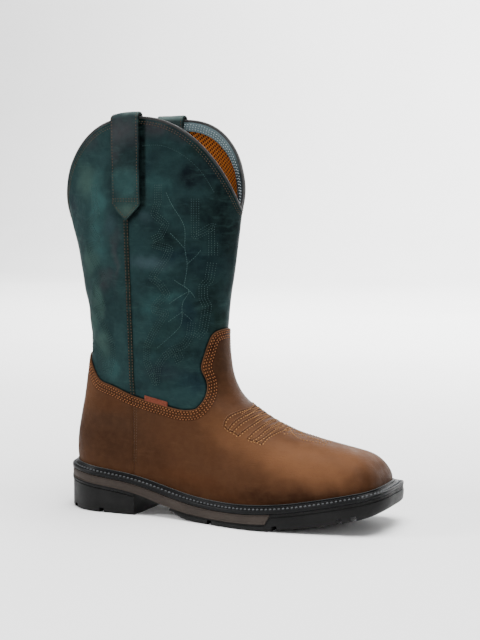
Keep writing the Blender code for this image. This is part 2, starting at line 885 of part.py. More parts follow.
def make_heel(collection, cutters, materials):
    """The heel block, with a lip under the midsole and notches in its tread."""
    stations = stations_for(16, True, False)

    def top(x):
        return midsole_under(x) - GAP

    levels = [
        # inset, height at x
        (HEEL_EASE, lambda x: 0 * x),
        (0.36 * HEEL_EASE, lambda x: 0 * x + HEEL_CHAMFER),
        (0.27 * HEEL_EASE, lambda x: top(x) - HEEL_LIP),
        (0.55 * HEEL_EASE, lambda x: top(x) - 0.87 * HEEL_LIP),
        (0.14 * HEEL_EASE, lambda x: top(x) - 0.67 * HEEL_LIP),
        (0.27 * HEEL_EASE, top),
    ]
    rings = []
    for inset, height in levels:
        outline = sole_outline(inset)
        rings.append(layer_ring(outline, places_along(outline, 0, HEEL_BREAST, stations), height))
    heel = stack_solid("heel", rings, collection, materials["sole_rubber"])
    grooves = [bar for share in (0.145, 0.043) for bar in ribbed_bars(share)]
    keep_within(heel, groove_cutter("heel_groove_cutter", grooves, cutters), "DIFFERENCE")
    return heel


def make_welt(collection, materials):
    """The welt strip: its top slopes down from the bead against the upper to its edge."""
    section = [
        # share of the width that shows, measured in from the edge, and height
        (0.06, 0.0),
        (0.00, 0.8 * WELT_ROUND),
        (0.00, WELT_THICKNESS - WELT_FALL - 0.4 * WELT_ROUND),
        (0.10, WELT_THICKNESS - WELT_FALL + 0.4 * WELT_ROUND),
        (0.38, WELT_THICKNESS - 0.3 * WELT_FALL),
        (0.64, WELT_THICKNESS + 0.6 * WELT_FALL),
    ]
    show = welt_show(FEATHER[:, 0])
    rings = []
    for share, height in section:
        plan = outline_out(SOLE_REACH - share * show)
        z = midsole_top(plan[:, 0]) + GAP + height
        rings.append(np.column_stack([plan, z]))
    bead = [
        # distance from the leather's face, height above the welt
        (BEAD_WIDTH, BEAD_HEIGHT - 0.8 * BEAD_ROUND),
        (BEAD_WIDTH - BEAD_ROUND, BEAD_HEIGHT),
        (GAP, BEAD_HEIGHT),
        (GAP, GAP),
    ]
    for distance, height in bead:
        line = last_line(max(height - GAP, 0))
        plan = outline_out(LEATHER_FACE + distance, line)
        z = midsole_top(plan[:, 0]) + GAP + WELT_THICKNESS + height
        rings.append(np.column_stack([plan, z]))
    under = outline_out(-WELT_UNDER)
    low = midsole_top(under[:, 0]) + GAP
    rings.append(np.column_stack([under, low + WELT_THICKNESS]))
    rings.append(np.column_stack([under, low]))
    return closed_sweep("welt", rings, collection, materials["welt_rubber"])


def make_insole(collection, materials):
    """The footbed inside the welt's ring, its edge eased."""
    stations = stations_for(26, True, True)
    inset = WELT_UNDER + 3 * GAP

    levels = [
        (inset, 0.0),
        (inset, 0.75),
        (inset + INSOLE_EASE, 1.0),
    ]
    rings = []
    for edge, share in levels:
        outline = outline_out(-edge)
        xs = places_along(outline, 0, 1, stations)
        low = midsole_top(xs) + GAP
        rings.append(layer_ring(outline, xs, lambda x: low + share * INSOLE_THICKNESS))
    return stack_solid("insole", rings, collection, materials["insole_foam"])


def centre_on_floor(collections):
    """Puts the origin on the floor, under the middle of the boot's box."""
    bpy.context.view_layer.update()
    graph = bpy.context.evaluated_depsgraph_get()
    corners = []
    for obj in collections[0].objects:
        seen = obj.evaluated_get(graph)
        corners += [seen.matrix_world @ Vector(corner) for corner in seen.bound_box]
    low = np.array(corners).min(axis=0)
    high = np.array(corners).max(axis=0)
    move = Vector((-(low[0] + high[0]) / 2, -(low[1] + high[1]) / 2, -low[2]))
    for collection in collections:
        for obj in collection.objects:
            obj.location += move
    bpy.context.view_layer.update()
    return move


def main():
    for obj in list(bpy.data.objects):
        bpy.data.objects.remove(obj)
    collection = bpy.data.collections.new("western_work_boot")
    cutters = bpy.data.collections.new("cutters")
    for made in (collection, cutters):
        bpy.context.scene.collection.children.link(made)
    materials = {
        "shaft_leather": plain_material("shaft_leather", (0.045, 0.085, 0.09), 0.6),
        "foot_leather": plain_material("foot_leather", (0.15, 0.07, 0.035), 0.55),
        "edge_leather": plain_material("edge_leather", (0.05, 0.035, 0.03), 0.6),
        "tag_weave": plain_material("tag_weave", (0.30, 0.09, 0.05), 0.8),
        "sole_rubber": plain_material("sole_rubber", (0.018, 0.018, 0.018), 0.55),
        "midsole_rubber": plain_material("midsole_rubber", (0.075, 0.06, 0.055), 0.6),
        "welt_rubber": plain_material("welt_rubber", (0.02, 0.02, 0.022), 0.45),
        "insole_foam": plain_material("insole_foam", (0.10, 0.10, 0.10), 0.9),
    }
    surface = boot_surface()
    normals = normals_of(surface)
    make_upper(surface, collection, materials)
    edge = make_foot_overlays(surface, normals, collection, cutters, materials)
    make_side_seams(surface, normals, edge, collection, cutters, materials)
    make_edge_tag(surface, normals, edge, collection, cutters, materials)
    make_straps(surface, collection, materials)
    make_binding(surface, normals, collection, materials)
    make_welt(collection, materials)
    make_midsole(collection, materials)
    make_outsole(collection, cutters, materials)
    make_heel(collection, cutters, materials)
    make_insole(collection, materials)
    move = centre_on_floor([collection, cutters])
    print("moved by", tuple(round(value, 5) for value in move))


main()
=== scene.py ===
"""Looks of the western work boot: leather, stitching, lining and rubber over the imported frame.

Lengths are metres in the boot's own frame: X from the back of the sole to the toe, Y to the
inner side, Z up from the floor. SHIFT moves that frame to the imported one.
"""

import math

import bmesh
import bpy
import numpy as np
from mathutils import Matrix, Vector
from mathutils.bvhtree import BVHTree
from mathutils.kdtree import KDTree
from mathutils.noise import noise_vector


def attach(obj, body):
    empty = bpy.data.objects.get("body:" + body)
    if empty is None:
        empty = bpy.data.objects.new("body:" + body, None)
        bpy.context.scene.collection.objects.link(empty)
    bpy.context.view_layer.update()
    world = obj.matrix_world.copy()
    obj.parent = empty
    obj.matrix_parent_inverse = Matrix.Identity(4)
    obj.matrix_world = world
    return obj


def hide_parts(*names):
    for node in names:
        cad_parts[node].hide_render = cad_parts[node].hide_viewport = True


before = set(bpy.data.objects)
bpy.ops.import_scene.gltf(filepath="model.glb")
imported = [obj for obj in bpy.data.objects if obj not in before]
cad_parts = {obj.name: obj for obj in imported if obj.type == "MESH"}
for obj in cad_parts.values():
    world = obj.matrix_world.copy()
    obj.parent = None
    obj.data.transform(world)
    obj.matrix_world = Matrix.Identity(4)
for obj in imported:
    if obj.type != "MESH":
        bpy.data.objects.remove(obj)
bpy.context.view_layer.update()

SHIFT = np.array([-0.15036, 0.00091, 0.0])

# The same sizes as the solids
LAST_LENGTH = 0.2873
HEEL_SETBACK = 0.0072
BALL_WIDTH = 0.087
HEEL_STACK = 0.036
SHAFT_WIDTH = 0.090
DIP_HEIGHT = 0.266
PEAK_HEIGHT = 0.348
WALL = 0.0022
OVERLAY = 0.0015
GAP = 0.0003
WELT_THICKNESS = 0.0043
WELT_SHOW_HEEL = 0.0060
WELT_SHOW_TOE = 0.0095
WELT_UNDER = 0.0035
BEAD_HEIGHT = 0.0026
BEAD_WIDTH = 0.0019
WELT_FALL = 0.0016
INSOLE_THICKNESS = 0.0074
STRAP_WIDTH = 0.027
STRAP_THICKNESS = 0.0026
STRAP_RISE = 0.0056
STRAP_INSIDE = 0.050
STRAP_TIP_HEIGHT = 0.2595
STRAP_SHOULDER = 0.014
STRAP_X = 0.0753
STRAP_ROWS = 26
SEAM_X = 0.0745
SEAM_WIDTH = 0.0050
BINDING_HEIGHT = 0.0018
TAG_LENGTH = 0.022
TAG_HEIGHT = 0.0036
TAG_START = 0.087
HEEL_BREAST = 0.0765
SHANK_START = 0.112
STRIPE_END = 0.2125
STRIPE_SLANT = 0.0050
LUG_GROOVE = 0.0055
LUG_DEPTH = 0.0042
LUG_RIB = 0.0120
SOLE_SHARP = 32
SOLE_LENGTH = HEEL_SETBACK + LAST_LENGTH + OVERLAY + 2 * GAP + WELT_SHOW_TOE

# Camera solved from the photograph
EYE = np.array([0.70521, -1.2327, 0.29344])
AZIMUTH = math.radians(23.77)
PITCH = math.radians(5.11)
FOCAL = 1550.07
IMAGE = (480, 640)

# Tables of the last and the sole. Places along the boot are shares of the last's length, or of
# the sole's in SOLE_SIDE and TREAD_SIDE.
LAST_PLAN = [
    # place, half width and sideways shift as shares of the ball's width
    (0.00, 0.365, 0.000), (0.12, 0.372, 0.000), (0.26, 0.352, -0.006), (0.40, 0.345, -0.028),
    (0.53, 0.428, -0.036), (0.65, 0.494, -0.026), (0.76, 0.488, 0.002), (0.87, 0.430, 0.016),
    (0.95, 0.395, 0.024), (1.00, 0.380, 0.030),
]
SOLE_SIDE = [
    # place, midsole's underside and top as shares of the heel's stack
    (0.000, 0.785, 1.000), (0.073, 0.742, 0.958), (0.149, 0.672, 0.883), (0.232, 0.572, 0.792),
    (0.288, 0.455, 0.690), (0.344, 0.312, 0.566), (0.394, 0.220, 0.468), (0.437, 0.172, 0.411),
    (0.483, 0.150, 0.376), (0.530, 0.141, 0.361), (0.609, 0.143, 0.367), (0.685, 0.172, 0.411),
    (0.745, 0.232, 0.474), (0.798, 0.312, 0.553), (0.854, 0.410, 0.645), (0.897, 0.490, 0.728),
    (0.934, 0.560, 0.800), (0.967, 0.630, 0.872), (1.000, 0.700, 0.945),
]
TREAD_SIDE = [
    # place, height as a share of the heel's stack
    (0.370, 0.200), (0.392, 0.090), (0.425, 0.022), (0.458, 0.000), (0.655, 0.000), (0.690, 0.020),
    (0.735, 0.068), (0.798, 0.140), (0.854, 0.235), (0.897, 0.312), (0.930, 0.380), (0.960, 0.452),
    (1.000, 0.600),
]
FRONT_LINE = [
    # place, height as a share of the dip's height; the same in BACK_LINE and VAMP_EDGE
    (1.000, 0.223), (0.950, 0.231), (0.890, 0.244), (0.830, 0.257), (0.770, 0.271), (0.710, 0.289),
    (0.655, 0.312), (0.613, 0.335), (0.573, 0.361), (0.545, 0.387), (0.522, 0.418), (0.505, 0.462),
    (0.495, 0.520), (0.491, 0.580), (0.495, 0.645), (0.508, 0.737), (0.526, 0.870), (0.539, 0.965),
    (0.546, 1.010),
]
BACK_LINE = [
    (0.000, 0.155), (-0.003, 0.190), (-0.002, 0.235), (0.005, 0.290), (0.018, 0.365),
    (0.030, 0.450), (0.039, 0.530), (0.042, 0.580), (0.038, 0.640), (0.019, 0.740), (-0.003, 0.850),
    (-0.025, 0.930), (-0.040, 0.985),
]
SHAFT_SIDE = [
    # height as a share of the dip's, half width as a share of the shaft's
    (0.18, 0.395), (0.34, 0.400), (0.45, 0.412), (0.56, 0.424), (0.75, 0.462), (0.92, 0.492),
    (1.10, 0.502), (1.35, 0.500),
]
VAMP_EDGE = [
    (-0.030, 0.548), (0.020, 0.540), (0.058, 0.506), (0.082, 0.468), (0.110, 0.441), (0.155, 0.427),
    (0.225, 0.402), (0.285, 0.386), (0.360, 0.369), (0.415, 0.361), (0.447, 0.366), (0.466, 0.392),
    (0.470, 0.425), (0.463, 0.462), (0.450, 0.502), (0.452, 0.516), (0.459, 0.552), (0.468, 0.590),
    (0.478, 0.612), (0.492, 0.621), (0.560, 0.622),
]
TOE_DEPTH = 0.022
TOE_LEAN = 0.009
HEEL_ROUND = 0.034
TOE_SQUARE = 6.0
PLAN_SQUARE = 2.7
SHAFT_SQUARE = 2.2
COLLAR_FRONT = 2.5
COLLAR_FRONT_OUTER = 2.3
COLLAR_BACK = 2.2
COLLAR_STEEP = 0.62


# Curves and tables

def spline(points):
    """A natural cubic through rows of (place, value)."""
    xs, ys = (np.array(column, float) for column in zip(*points))
    n = len(xs)
    step = np.diff(xs)
    system = np.eye(n)
    right = np.zeros(n)
    for i in range(1, n - 1):
        system[i, i - 1 : i + 2] = step[i - 1], 2 * (step[i - 1] + step[i]), step[i]
        right[i] = 6 * ((ys[i + 1] - ys[i]) / step[i] - (ys[i] - ys[i - 1]) / step[i - 1])
    bend = np.linalg.solve(system, right)

    def value(x):
        x = np.clip(np.asarray(x, float), xs[0], xs[-1])
        i = np.clip(np.searchsorted(xs, x) - 1, 0, n - 2)
        h = step[i]
        a = (xs[i + 1] - x) / h
        b = (x - xs[i]) / h
        curve = ((a**3 - a) * bend[i] + (b**3 - b) * bend[i + 1]) * h * h / 6
        return a * ys[i] + b * ys[i + 1] + curve

    return value


def resample(points, count=None, pitch=None):
    """Evenly spaced rows along a polyline; columns past the third are carried along."""
    points = np.asarray(points, float)
    steps = np.linalg.norm(np.diff(points[:, :3], axis=0), axis=1)
    reach = np.concatenate([[0], np.cumsum(steps)])
    if count is None:
        count = max(2, int(round(reach[-1] / pitch)) + 1)
    even = np.linspace(0, reach[-1], count)
    return np.column_stack([np.interp(even, reach, column) for column in points.T])


def path(points, count=400):
    """Evenly spaced points along a smooth line through rows of points."""
    rows = np.array(points, float)
    run = np.concatenate([[0], np.cumsum(np.linalg.norm(np.diff(rows, axis=0), axis=1))])
    fine = np.linspace(0, run[-1], count)
    line = np.column_stack([spline(zip(run, column))(fine) for column in rows.T])
    return resample(line, count)


def smooth_step(value, low, high):
    t = np.clip((value - low) / (high - low), 0, 1)
    return t * t * (3 - 2 * t)


def bell(value, width):
    return np.exp(-((value / width) ** 2))


def round_over(distance, radius):
    """Quarter circle from 0 at an edge to 1 at the radius and beyond."""
    return np.sqrt(np.clip(1 - (1 - np.clip(distance / radius, 0, 1)) ** 2, 0, 1))


def unit(rows):
    return rows / (np.linalg.norm(rows, axis=-1, keepdims=True) + 1e-12)


def along_last(share):
    return HEEL_SETBACK + share * LAST_LENGTH


def side_table(table, column, size):
    return spline([(row[0] * size, row[column] * HEEL_STACK) for row in table])


def centre_points(table):
    return [(along_last(row[0]), row[1] * DIP_HEIGHT) for row in table]


last_half = spline([(along_last(row[0]), row[1] * BALL_WIDTH) for row in LAST_PLAN])
last_shift = spline([(along_last(row[0]), row[2] * BALL_WIDTH) for row in LAST_PLAN])
midsole_under = side_table(SOLE_SIDE, 1, SOLE_LENGTH)
midsole_top = side_table(SOLE_SIDE, 2, SOLE_LENGTH)
tread_curve = side_table(TREAD_SIDE, 1, SOLE_LENGTH)
shaft_half = spline([(row[0] * DIP_HEIGHT, row[1] * SHAFT_WIDTH) for row in SHAFT_SIDE])


def tread_line(x):
    return np.maximum(tread_curve(x), 0)


def feather_height(x):
    return midsole_top(x) + GAP + WELT_THICKNESS + GAP


# The last's surface, as in the solids

FRONT_TOP = path(centre_points(FRONT_LINE))
TURN = int(np.argmin(FRONT_TOP[:, 0]))


def ridge_height(x):
    xs = FRONT_TOP[:TURN, 0][::-1]
    zs = FRONT_TOP[:TURN, 1][::-1]
    return np.interp(x, xs, zs) + np.clip(xs[0] - x, 0, None) * 9


def section_power(x):
    return 2.5 - 0.75 * smooth_step(along_last(0.85) - x, 0.0, 0.10)


def toe_profile(share):
    back = TOE_DEPTH * (1 - (1 - share**2.5) ** (1 / TOE_SQUARE))
    x = along_last(1) - back - TOE_LEAN * share**2
    low = feather_height(x)
    return x, low + share * (ridge_height(x) - low)


def front_profile():
    wall = [toe_profile(share) for share in np.linspace(0, 1, 60)]
    top = [point for point in FRONT_TOP if point[0] < wall[-1][0]]
    start = len(FRONT_TOP) - len(top)
    return resample(np.vstack([wall, FRONT_TOP[start:]]), 600)


def back_profile():
    points = centre_points(BACK_LINE)
    points[0] = (points[0][0], float(feather_height(points[0][0])))
    return path(points)


FRONT = front_profile()
BACK = back_profile()


def on_profile(profile, share):
    place = share * (len(profile) - 1)
    index = np.arange(len(profile))
    return [float(np.interp(place, index, profile[:, k])) for k in (0, 1)]


def foot_width(x, z, back_x):
    low = feather_height(x)
    level = np.clip((z - low) / (ridge_height(x) - low), 0, 1)
    toe = np.clip((x + TOE_LEAN * level**2 - along_last(1) + TOE_DEPTH) / TOE_DEPTH, 0, 1)
    heel = np.clip((HEEL_ROUND - (x - back_x)) / HEEL_ROUND, 0, 1)
    body = np.clip(1 - level ** section_power(x) - toe**TOE_SQUARE, 0, 1)
    tuck = 1 - 0.035 * bell(z - low, 0.005)
    bulge = 1 + 0.03 * np.sin(np.pi * np.clip(level / 0.5, 0, 1))
    return last_half(x) * body ** (1 / PLAN_SQUARE) * np.sqrt(1 - heel**2) * tuck * bulge


def collar_arch(share, front):
    away = np.abs(2 * share - 1)
    power = np.where(share > 0.5, front, COLLAR_BACK)
    return np.clip(1 - away**power, 0, 1) ** COLLAR_STEEP


def ring(level, shares, front=COLLAR_FRONT):
    back_x, back_z = on_profile(BACK, level)
    front_x, front_z = on_profile(FRONT, level)
    x = back_x + (front_x - back_x) * shares
    flat = back_z + (front_z - back_z) * shares
    ends = feather_height(back_x), feather_height(front_x)
    sole_bend = feather_height(x) - (ends[0] + (ends[1] - ends[0]) * shares)
    lift = smooth_step(level, 0.50, 1.0) * (PEAK_HEIGHT - DIP_HEIGHT) * collar_arch(shares, front)
    z = flat + sole_bend * (1 - smooth_step(level, 0.0, 0.42)) + lift
    shaft_part = smooth_step(level, 0.10, 0.50)
    foot = foot_width(x, z, back_x)
    oval = np.clip(1 - np.abs(2 * shares - 1) ** SHAFT_SQUARE, 0, 1) ** (1 / SHAFT_SQUARE)
    width = foot + (shaft_half(z) * oval - foot) * shaft_part
    return x, z, width, last_shift(x) * (1 - shaft_part)


def ring_shares(count):
    return (1 - np.cos(np.pi * np.arange(count + 1) / count)) / 2


def boot_surface(around, rows):
    """Rings from the welt to the collar, each from the heel round the outer side and back."""
    shares = ring_shares(around)
    grid = []
    for row in range(rows):
        halves = []
        for side, front in ((-1, COLLAR_FRONT_OUTER), (1, COLLAR_FRONT)):
            x, z, width, shift = ring((row / (rows - 1)) ** 1.2, shares, front)
            halves.append(np.column_stack([x, shift + side * width, z]))
        grid.append(np.vstack([halves[0], halves[1][-2:0:-1]]))
    return np.array(grid)


def grid_faces(rows, columns, closed=True, looped=False):
    """Quads of a grid. Closed joins its last column to the first, looped its last row."""
    faces = []
    for row in range(rows if looped else rows - 1):
        low, high = row * columns, (row + 1) % rows * columns
        for column in range(columns if closed else columns - 1):
            after = (column + 1) % columns
            faces.append((low + column, low + after, high + after, high + column))
    return faces


def mesh_normals(points, faces):
    mesh = bpy.data.meshes.new("sheet")
    mesh.from_pydata(points.tolist(), [], faces)
    normals = np.array([vertex.normal[:] for vertex in mesh.vertices])
    bpy.data.meshes.remove(mesh)
    return normals


# Objects

def add_to_scene(name, data):
    obj = bpy.data.objects.new(name, data)
    bpy.context.scene.collection.objects.link(obj)
    return obj


def make_object(name, points, faces, material, closed=True, sharp=40.0, attributes=None):
    """A mesh piece that rides on the root body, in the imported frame."""
    mesh = bpy.data.meshes.new(name)
    moved = np.asarray(points, float) + SHIFT
    mesh.from_pydata(moved.tolist(), [], [tuple(face) for face in faces])
    if closed:
        work = bmesh.new()
        work.from_mesh(mesh)
        bmesh.ops.recalc_face_normals(work, faces=work.faces)
        work.to_mesh(mesh)
        work.free()
    for key, values in (attributes or {}).items():
        values = np.asarray(values, np.float32)
        kind, field = ("FLOAT2", "vector") if values.shape[1] == 2 else ("FLOAT_COLOR", "color")
        mesh.attributes.new(key, kind, "POINT").data.foreach_set(field, values.ravel())
    mesh.materials.append(material)
    mesh.shade_smooth()
    mesh.set_sharp_from_angle(angle=math.radians(sharp))
    obj = add_to_scene(name, mesh)
    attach(obj, "root")
    return obj


def split_at(points, faces, values, data, iso, drop=False):
    """Splits polygons where a vertex value passes iso; drop removes the low side."""
    side = values >= iso
    points, data = list(points), list(data)
    cut, out = {}, []

    def crossing(a, b):
        key = (a, b) if a < b else (b, a)
        if key not in cut:
            a, b = key
            t = (iso - values[a]) / (values[b] - values[a])
            cut[key] = len(points)
            points.append(points[a] + t * (points[b] - points[a]))
            data.append(data[a] + t * (data[b] - data[a]))
        return cut[key]

    for face in faces:
        flags = [side[i] for i in face]
        if all(flags) or not (drop or any(flags)):
            out.append(face)
        elif any(flags):
            high, low = [], []
            for k, i in enumerate(face):
                after = (k + 1) % len(face)
                (high if flags[k] else low).append(i)
                if flags[k] != flags[after]:
                    point = crossing(i, face[after])
                    high.append(point)
                    low.append(point)
            out += [tuple(part) for part in (high, () if drop else low) if len(part) > 2]
    return np.array(points), out, np.array(data)


def split_all(points, faces, data, cuts):
    """Adds edges where each numbered column of the data passes each of its values."""
    for column, isos in cuts:
        for iso in isos:
            points, faces, data = split_at(points, faces, data[:, column], data, iso)
    return points, faces, data


def compact(points, faces, data):
    """Drops unused points; the normals come from the data's first three columns."""
    used = sorted({i for face in faces for i in face})
    index = {old: new for new, old in enumerate(used)}
    faces = [tuple(index[i] for i in face) for face in faces]
    return points[used], faces, data[used], unit(data[used, :3])


def boundary_edges(faces):
    seen = {}
    for face in faces:
        for i, j in zip(face, face[1:] + face[:1]):
            key = (min(i, j), max(i, j))
            seen[key] = None if key in seen else (i, j)
    return [edge for edge in seen.values() if edge]


def iso_lines(values, iso):
    """Chains of points on the fine surface where a value passes iso, with their normals."""
    rows = np.column_stack([base_points, base_normals])
    side = values >= iso
    nodes, links = {}, {}
    for face in BASE_FACES:
        ends = []
        for i, j in zip(face, face[1:] + face[:1]):
            if side[i] != side[j]:
                a, b = key = (min(i, j), max(i, j))
                if key not in nodes:
                    t = (iso - values[a]) / (values[b] - values[a])
                    nodes[key] = rows[a] + t * (rows[b] - rows[a])
                ends.append(key)
        if len(ends) == 2:
            links.setdefault(ends[0], []).append(ends[1])
            links.setdefault(ends[1], []).append(ends[0])
    chains, used = [], set()
    for start in [key for key in links if len(links[key]) == 1] + list(links):
        if start in used:
            continue
        chain = [start]
        used.add(start)
        while onward := [key for key in links[chain[-1]] if key not in used]:
            chain.append(onward[0])
            used.add(onward[0])
        if len(chain) > 3:
            if chain[0] in links[chain[-1]]:
                chain.append(chain[0])
            chains.append(np.array([nodes[key] for key in chain]))
    return chains


# The fine surface, with soft creases listed below

AROUND, ROWS = 104, 170
CREASE_BOW = 0.12
CREASE_RIDGE = 0.6
WAVE_DEPTH = 0.00028
BASE = boot_surface(AROUND, ROWS)
BASE_FACES = grid_faces(ROWS, 2 * AROUND)
base_points = BASE.reshape(-1, 3)
base_normals = mesh_normals(base_points, BASE_FACES)

CREASES = [
    # side, from x, z, to x, z, half width, depth
    (-1, 0.118, 0.128, 0.139, 0.150, 0.0060, 0.0007),
    (-1, 0.112, 0.150, 0.141, 0.176, 0.0070, 0.0006),
    (-1, 0.018, 0.120, 0.040, 0.176, 0.0055, 0.0007),
    (-1, 0.016, 0.158, 0.036, 0.205, 0.0060, 0.0007),
    (-1, 0.026, 0.104, 0.050, 0.146, 0.0050, 0.0005),
    (-1, 0.118, 0.098, 0.150, 0.086, 0.0060, 0.0007),
    (-1, 0.128, 0.076, 0.166, 0.066, 0.0070, 0.0006),
    (1, 0.110, 0.128, 0.140, 0.158, 0.0060, 0.0008),
    (1, 0.016, 0.130, 0.042, 0.180, 0.0055, 0.0008),
    (1, 0.120, 0.094, 0.150, 0.082, 0.0060, 0.0008),
    (1, 0.130, 0.074, 0.170, 0.064, 0.0070, 0.0007),
    (0, 0.150, 0.110, 0.166, 0.094, 0.0050, 0.0006),
]


def crease_depth(points, normals):
    """Soft troughs, each with a low ridge beside it."""
    depth = np.zeros(len(points))
    flat = points[:, [0, 2]]
    for side, x0, z0, x1, z1, half, deep in CREASES:
        a, b = np.array([x0, z0]), np.array([x1, z1])
        along = b - a
        aside = np.array([-along[1], along[0]])
        t = np.clip(((flat - a) @ along) / (along @ along), 0, 1)
        near = a + t[:, None] * along + (4 * t * (1 - t))[:, None] * (aside * CREASE_BOW)
        away = flat - near
        distance = np.linalg.norm(away, axis=1)
        across = (away @ aside) / np.linalg.norm(along)
        fade = np.sin(np.pi * np.clip(t, 0.02, 0.98)) ** 0.5
        ends = bell(np.maximum(distance - np.abs(across), 0), half)
        ridge = CREASE_RIDGE * bell(across - 1.9 * half, half) * (distance < 4 * half)
        here = 1.0 if side == 0 else smooth_step(normals[:, 1] * side, -0.1, 0.5)
        depth += deep * (bell(distance, half) - ridge) * fade * ends * here
    return depth


def waves(points):
    """Broad unevenness of a hand-lasted upper."""
    x, y, z = points.T
    wave = np.sin(x * 61 + z * 37 + 1.3) * np.sin(z * 53 - y * 71 + 0.4)
    wave += 0.6 * np.sin(x * 117 - z * 83 + y * 40) * np.sin(z * 97 + 2.1)
    return WAVE_DEPTH * wave * smooth_step(z, 0.06, 0.12)


base_points = base_points - base_normals * (
    crease_depth(base_points, base_normals) + waves(base_points)
)[:, None]
base_normals = mesh_normals(base_points, BASE_FACES)
TREE = BVHTree.FromPolygons([Vector(p) for p in base_points], BASE_FACES)
TOP_ROW = base_points.reshape(ROWS, -1, 3)[-1]
TOP_NORMALS = base_normals.reshape(ROWS, -1, 3)[-1]

FORWARD = np.array(
    [-math.sin(AZIMUTH) * math.cos(PITCH), math.cos(AZIMUTH) * math.cos(PITCH), -math.sin(PITCH)]
)
RIGHT = np.array([math.cos(AZIMUTH), math.sin(AZIMUTH), 0.0])
UP = np.cross(RIGHT, FORWARD)


def at_pixel(px, py):
    """Point of the surface that the photograph shows at a pixel."""
    ray = FORWARD + RIGHT * (px - IMAGE[0] / 2) / FOCAL - UP * (py - IMAGE[1] / 2) / FOCAL
    hit = TREE.ray_cast(Vector(EYE), Vector(ray).normalized())[0]
    return None if hit is None else np.array(hit)


def struck(start, way):
    """Surface point that a ray meets first, and the normal on the ray's side."""
    hit, normal = TREE.ray_cast(Vector(start), Vector(way))[:2]
    if hit is None:
        return None
    normal = np.array(normal)
    return np.concatenate([hit, -normal if normal @ np.array(way) > 0 else normal])


def on_side(x, z, side):
    return struck((x, side * 0.3, z), (0, -side, 0))


def from_above(x, y):
    return struck((x, y, 0.4), (0, 0, -1))


# Distances to the brown leather's edge, measured on the surface

def vamp_edge_points():
    rows = centre_points(VAMP_EDGE)
    cusp = min(range(10, 18), key=lambda i: rows[i][0])
    side = path(rows[: cusp + 1], 240)
    tongue = path(rows[cusp:], 90)
    return np.vstack([side, tongue[1:]])


EDGE = vamp_edge_points()


def edge_height(x):
    before = EDGE[: int(np.argmax(EDGE[:, 0] > along_last(0.44)))]
    return float(np.interp(x, before[:, 0], before[:, 1]))


def below_edge(points):
    """Side-view distance under the edge line, positive on the brown leather."""
    flat = points[:, [0, 2]]
    a, b = EDGE[:-1], EDGE[1:]
    best = np.full(len(flat), 1e9)
    sign = np.ones(len(flat))
    for start, end in zip(a, b):
        along = end - start
        t = np.clip(((flat - start) @ along) / (along @ along), 0, 1)
        away = flat - (start + t[:, None] * along)
        distance = np.linalg.norm(away, axis=1)
        nearer = distance < best - 1e-12
        best = np.where(nearer, distance, best)
        turn = along[0] * away[:, 1] - along[1] * away[:, 0]
        sign = np.where(nearer, np.where(turn < 0, 1.0, -1.0), sign)
    return best * sign


def distance_to(line):
    """Distance of every point of the fine surface to the nearest of a dense line's points."""
    tree = KDTree(len(line))
    for i, point in enumerate(line):
        tree.insert(point, i)
    tree.balance()
    return np.array([tree.find(point)[2] for point in base_points])


side_sign = below_edge(base_points)
edge_lines = [resample(chain[:, :3], pitch=0.00025) for chain in iso_lines(side_sign, 0.0)]
edge_distance = distance_to(np.vstack(edge_lines)) * np.sign(side_sign + 1e-12)
collar_distance = distance_to(resample(np.vstack([TOP_ROW, TOP_ROW[:1]]), pitch=0.0005))


# Materials

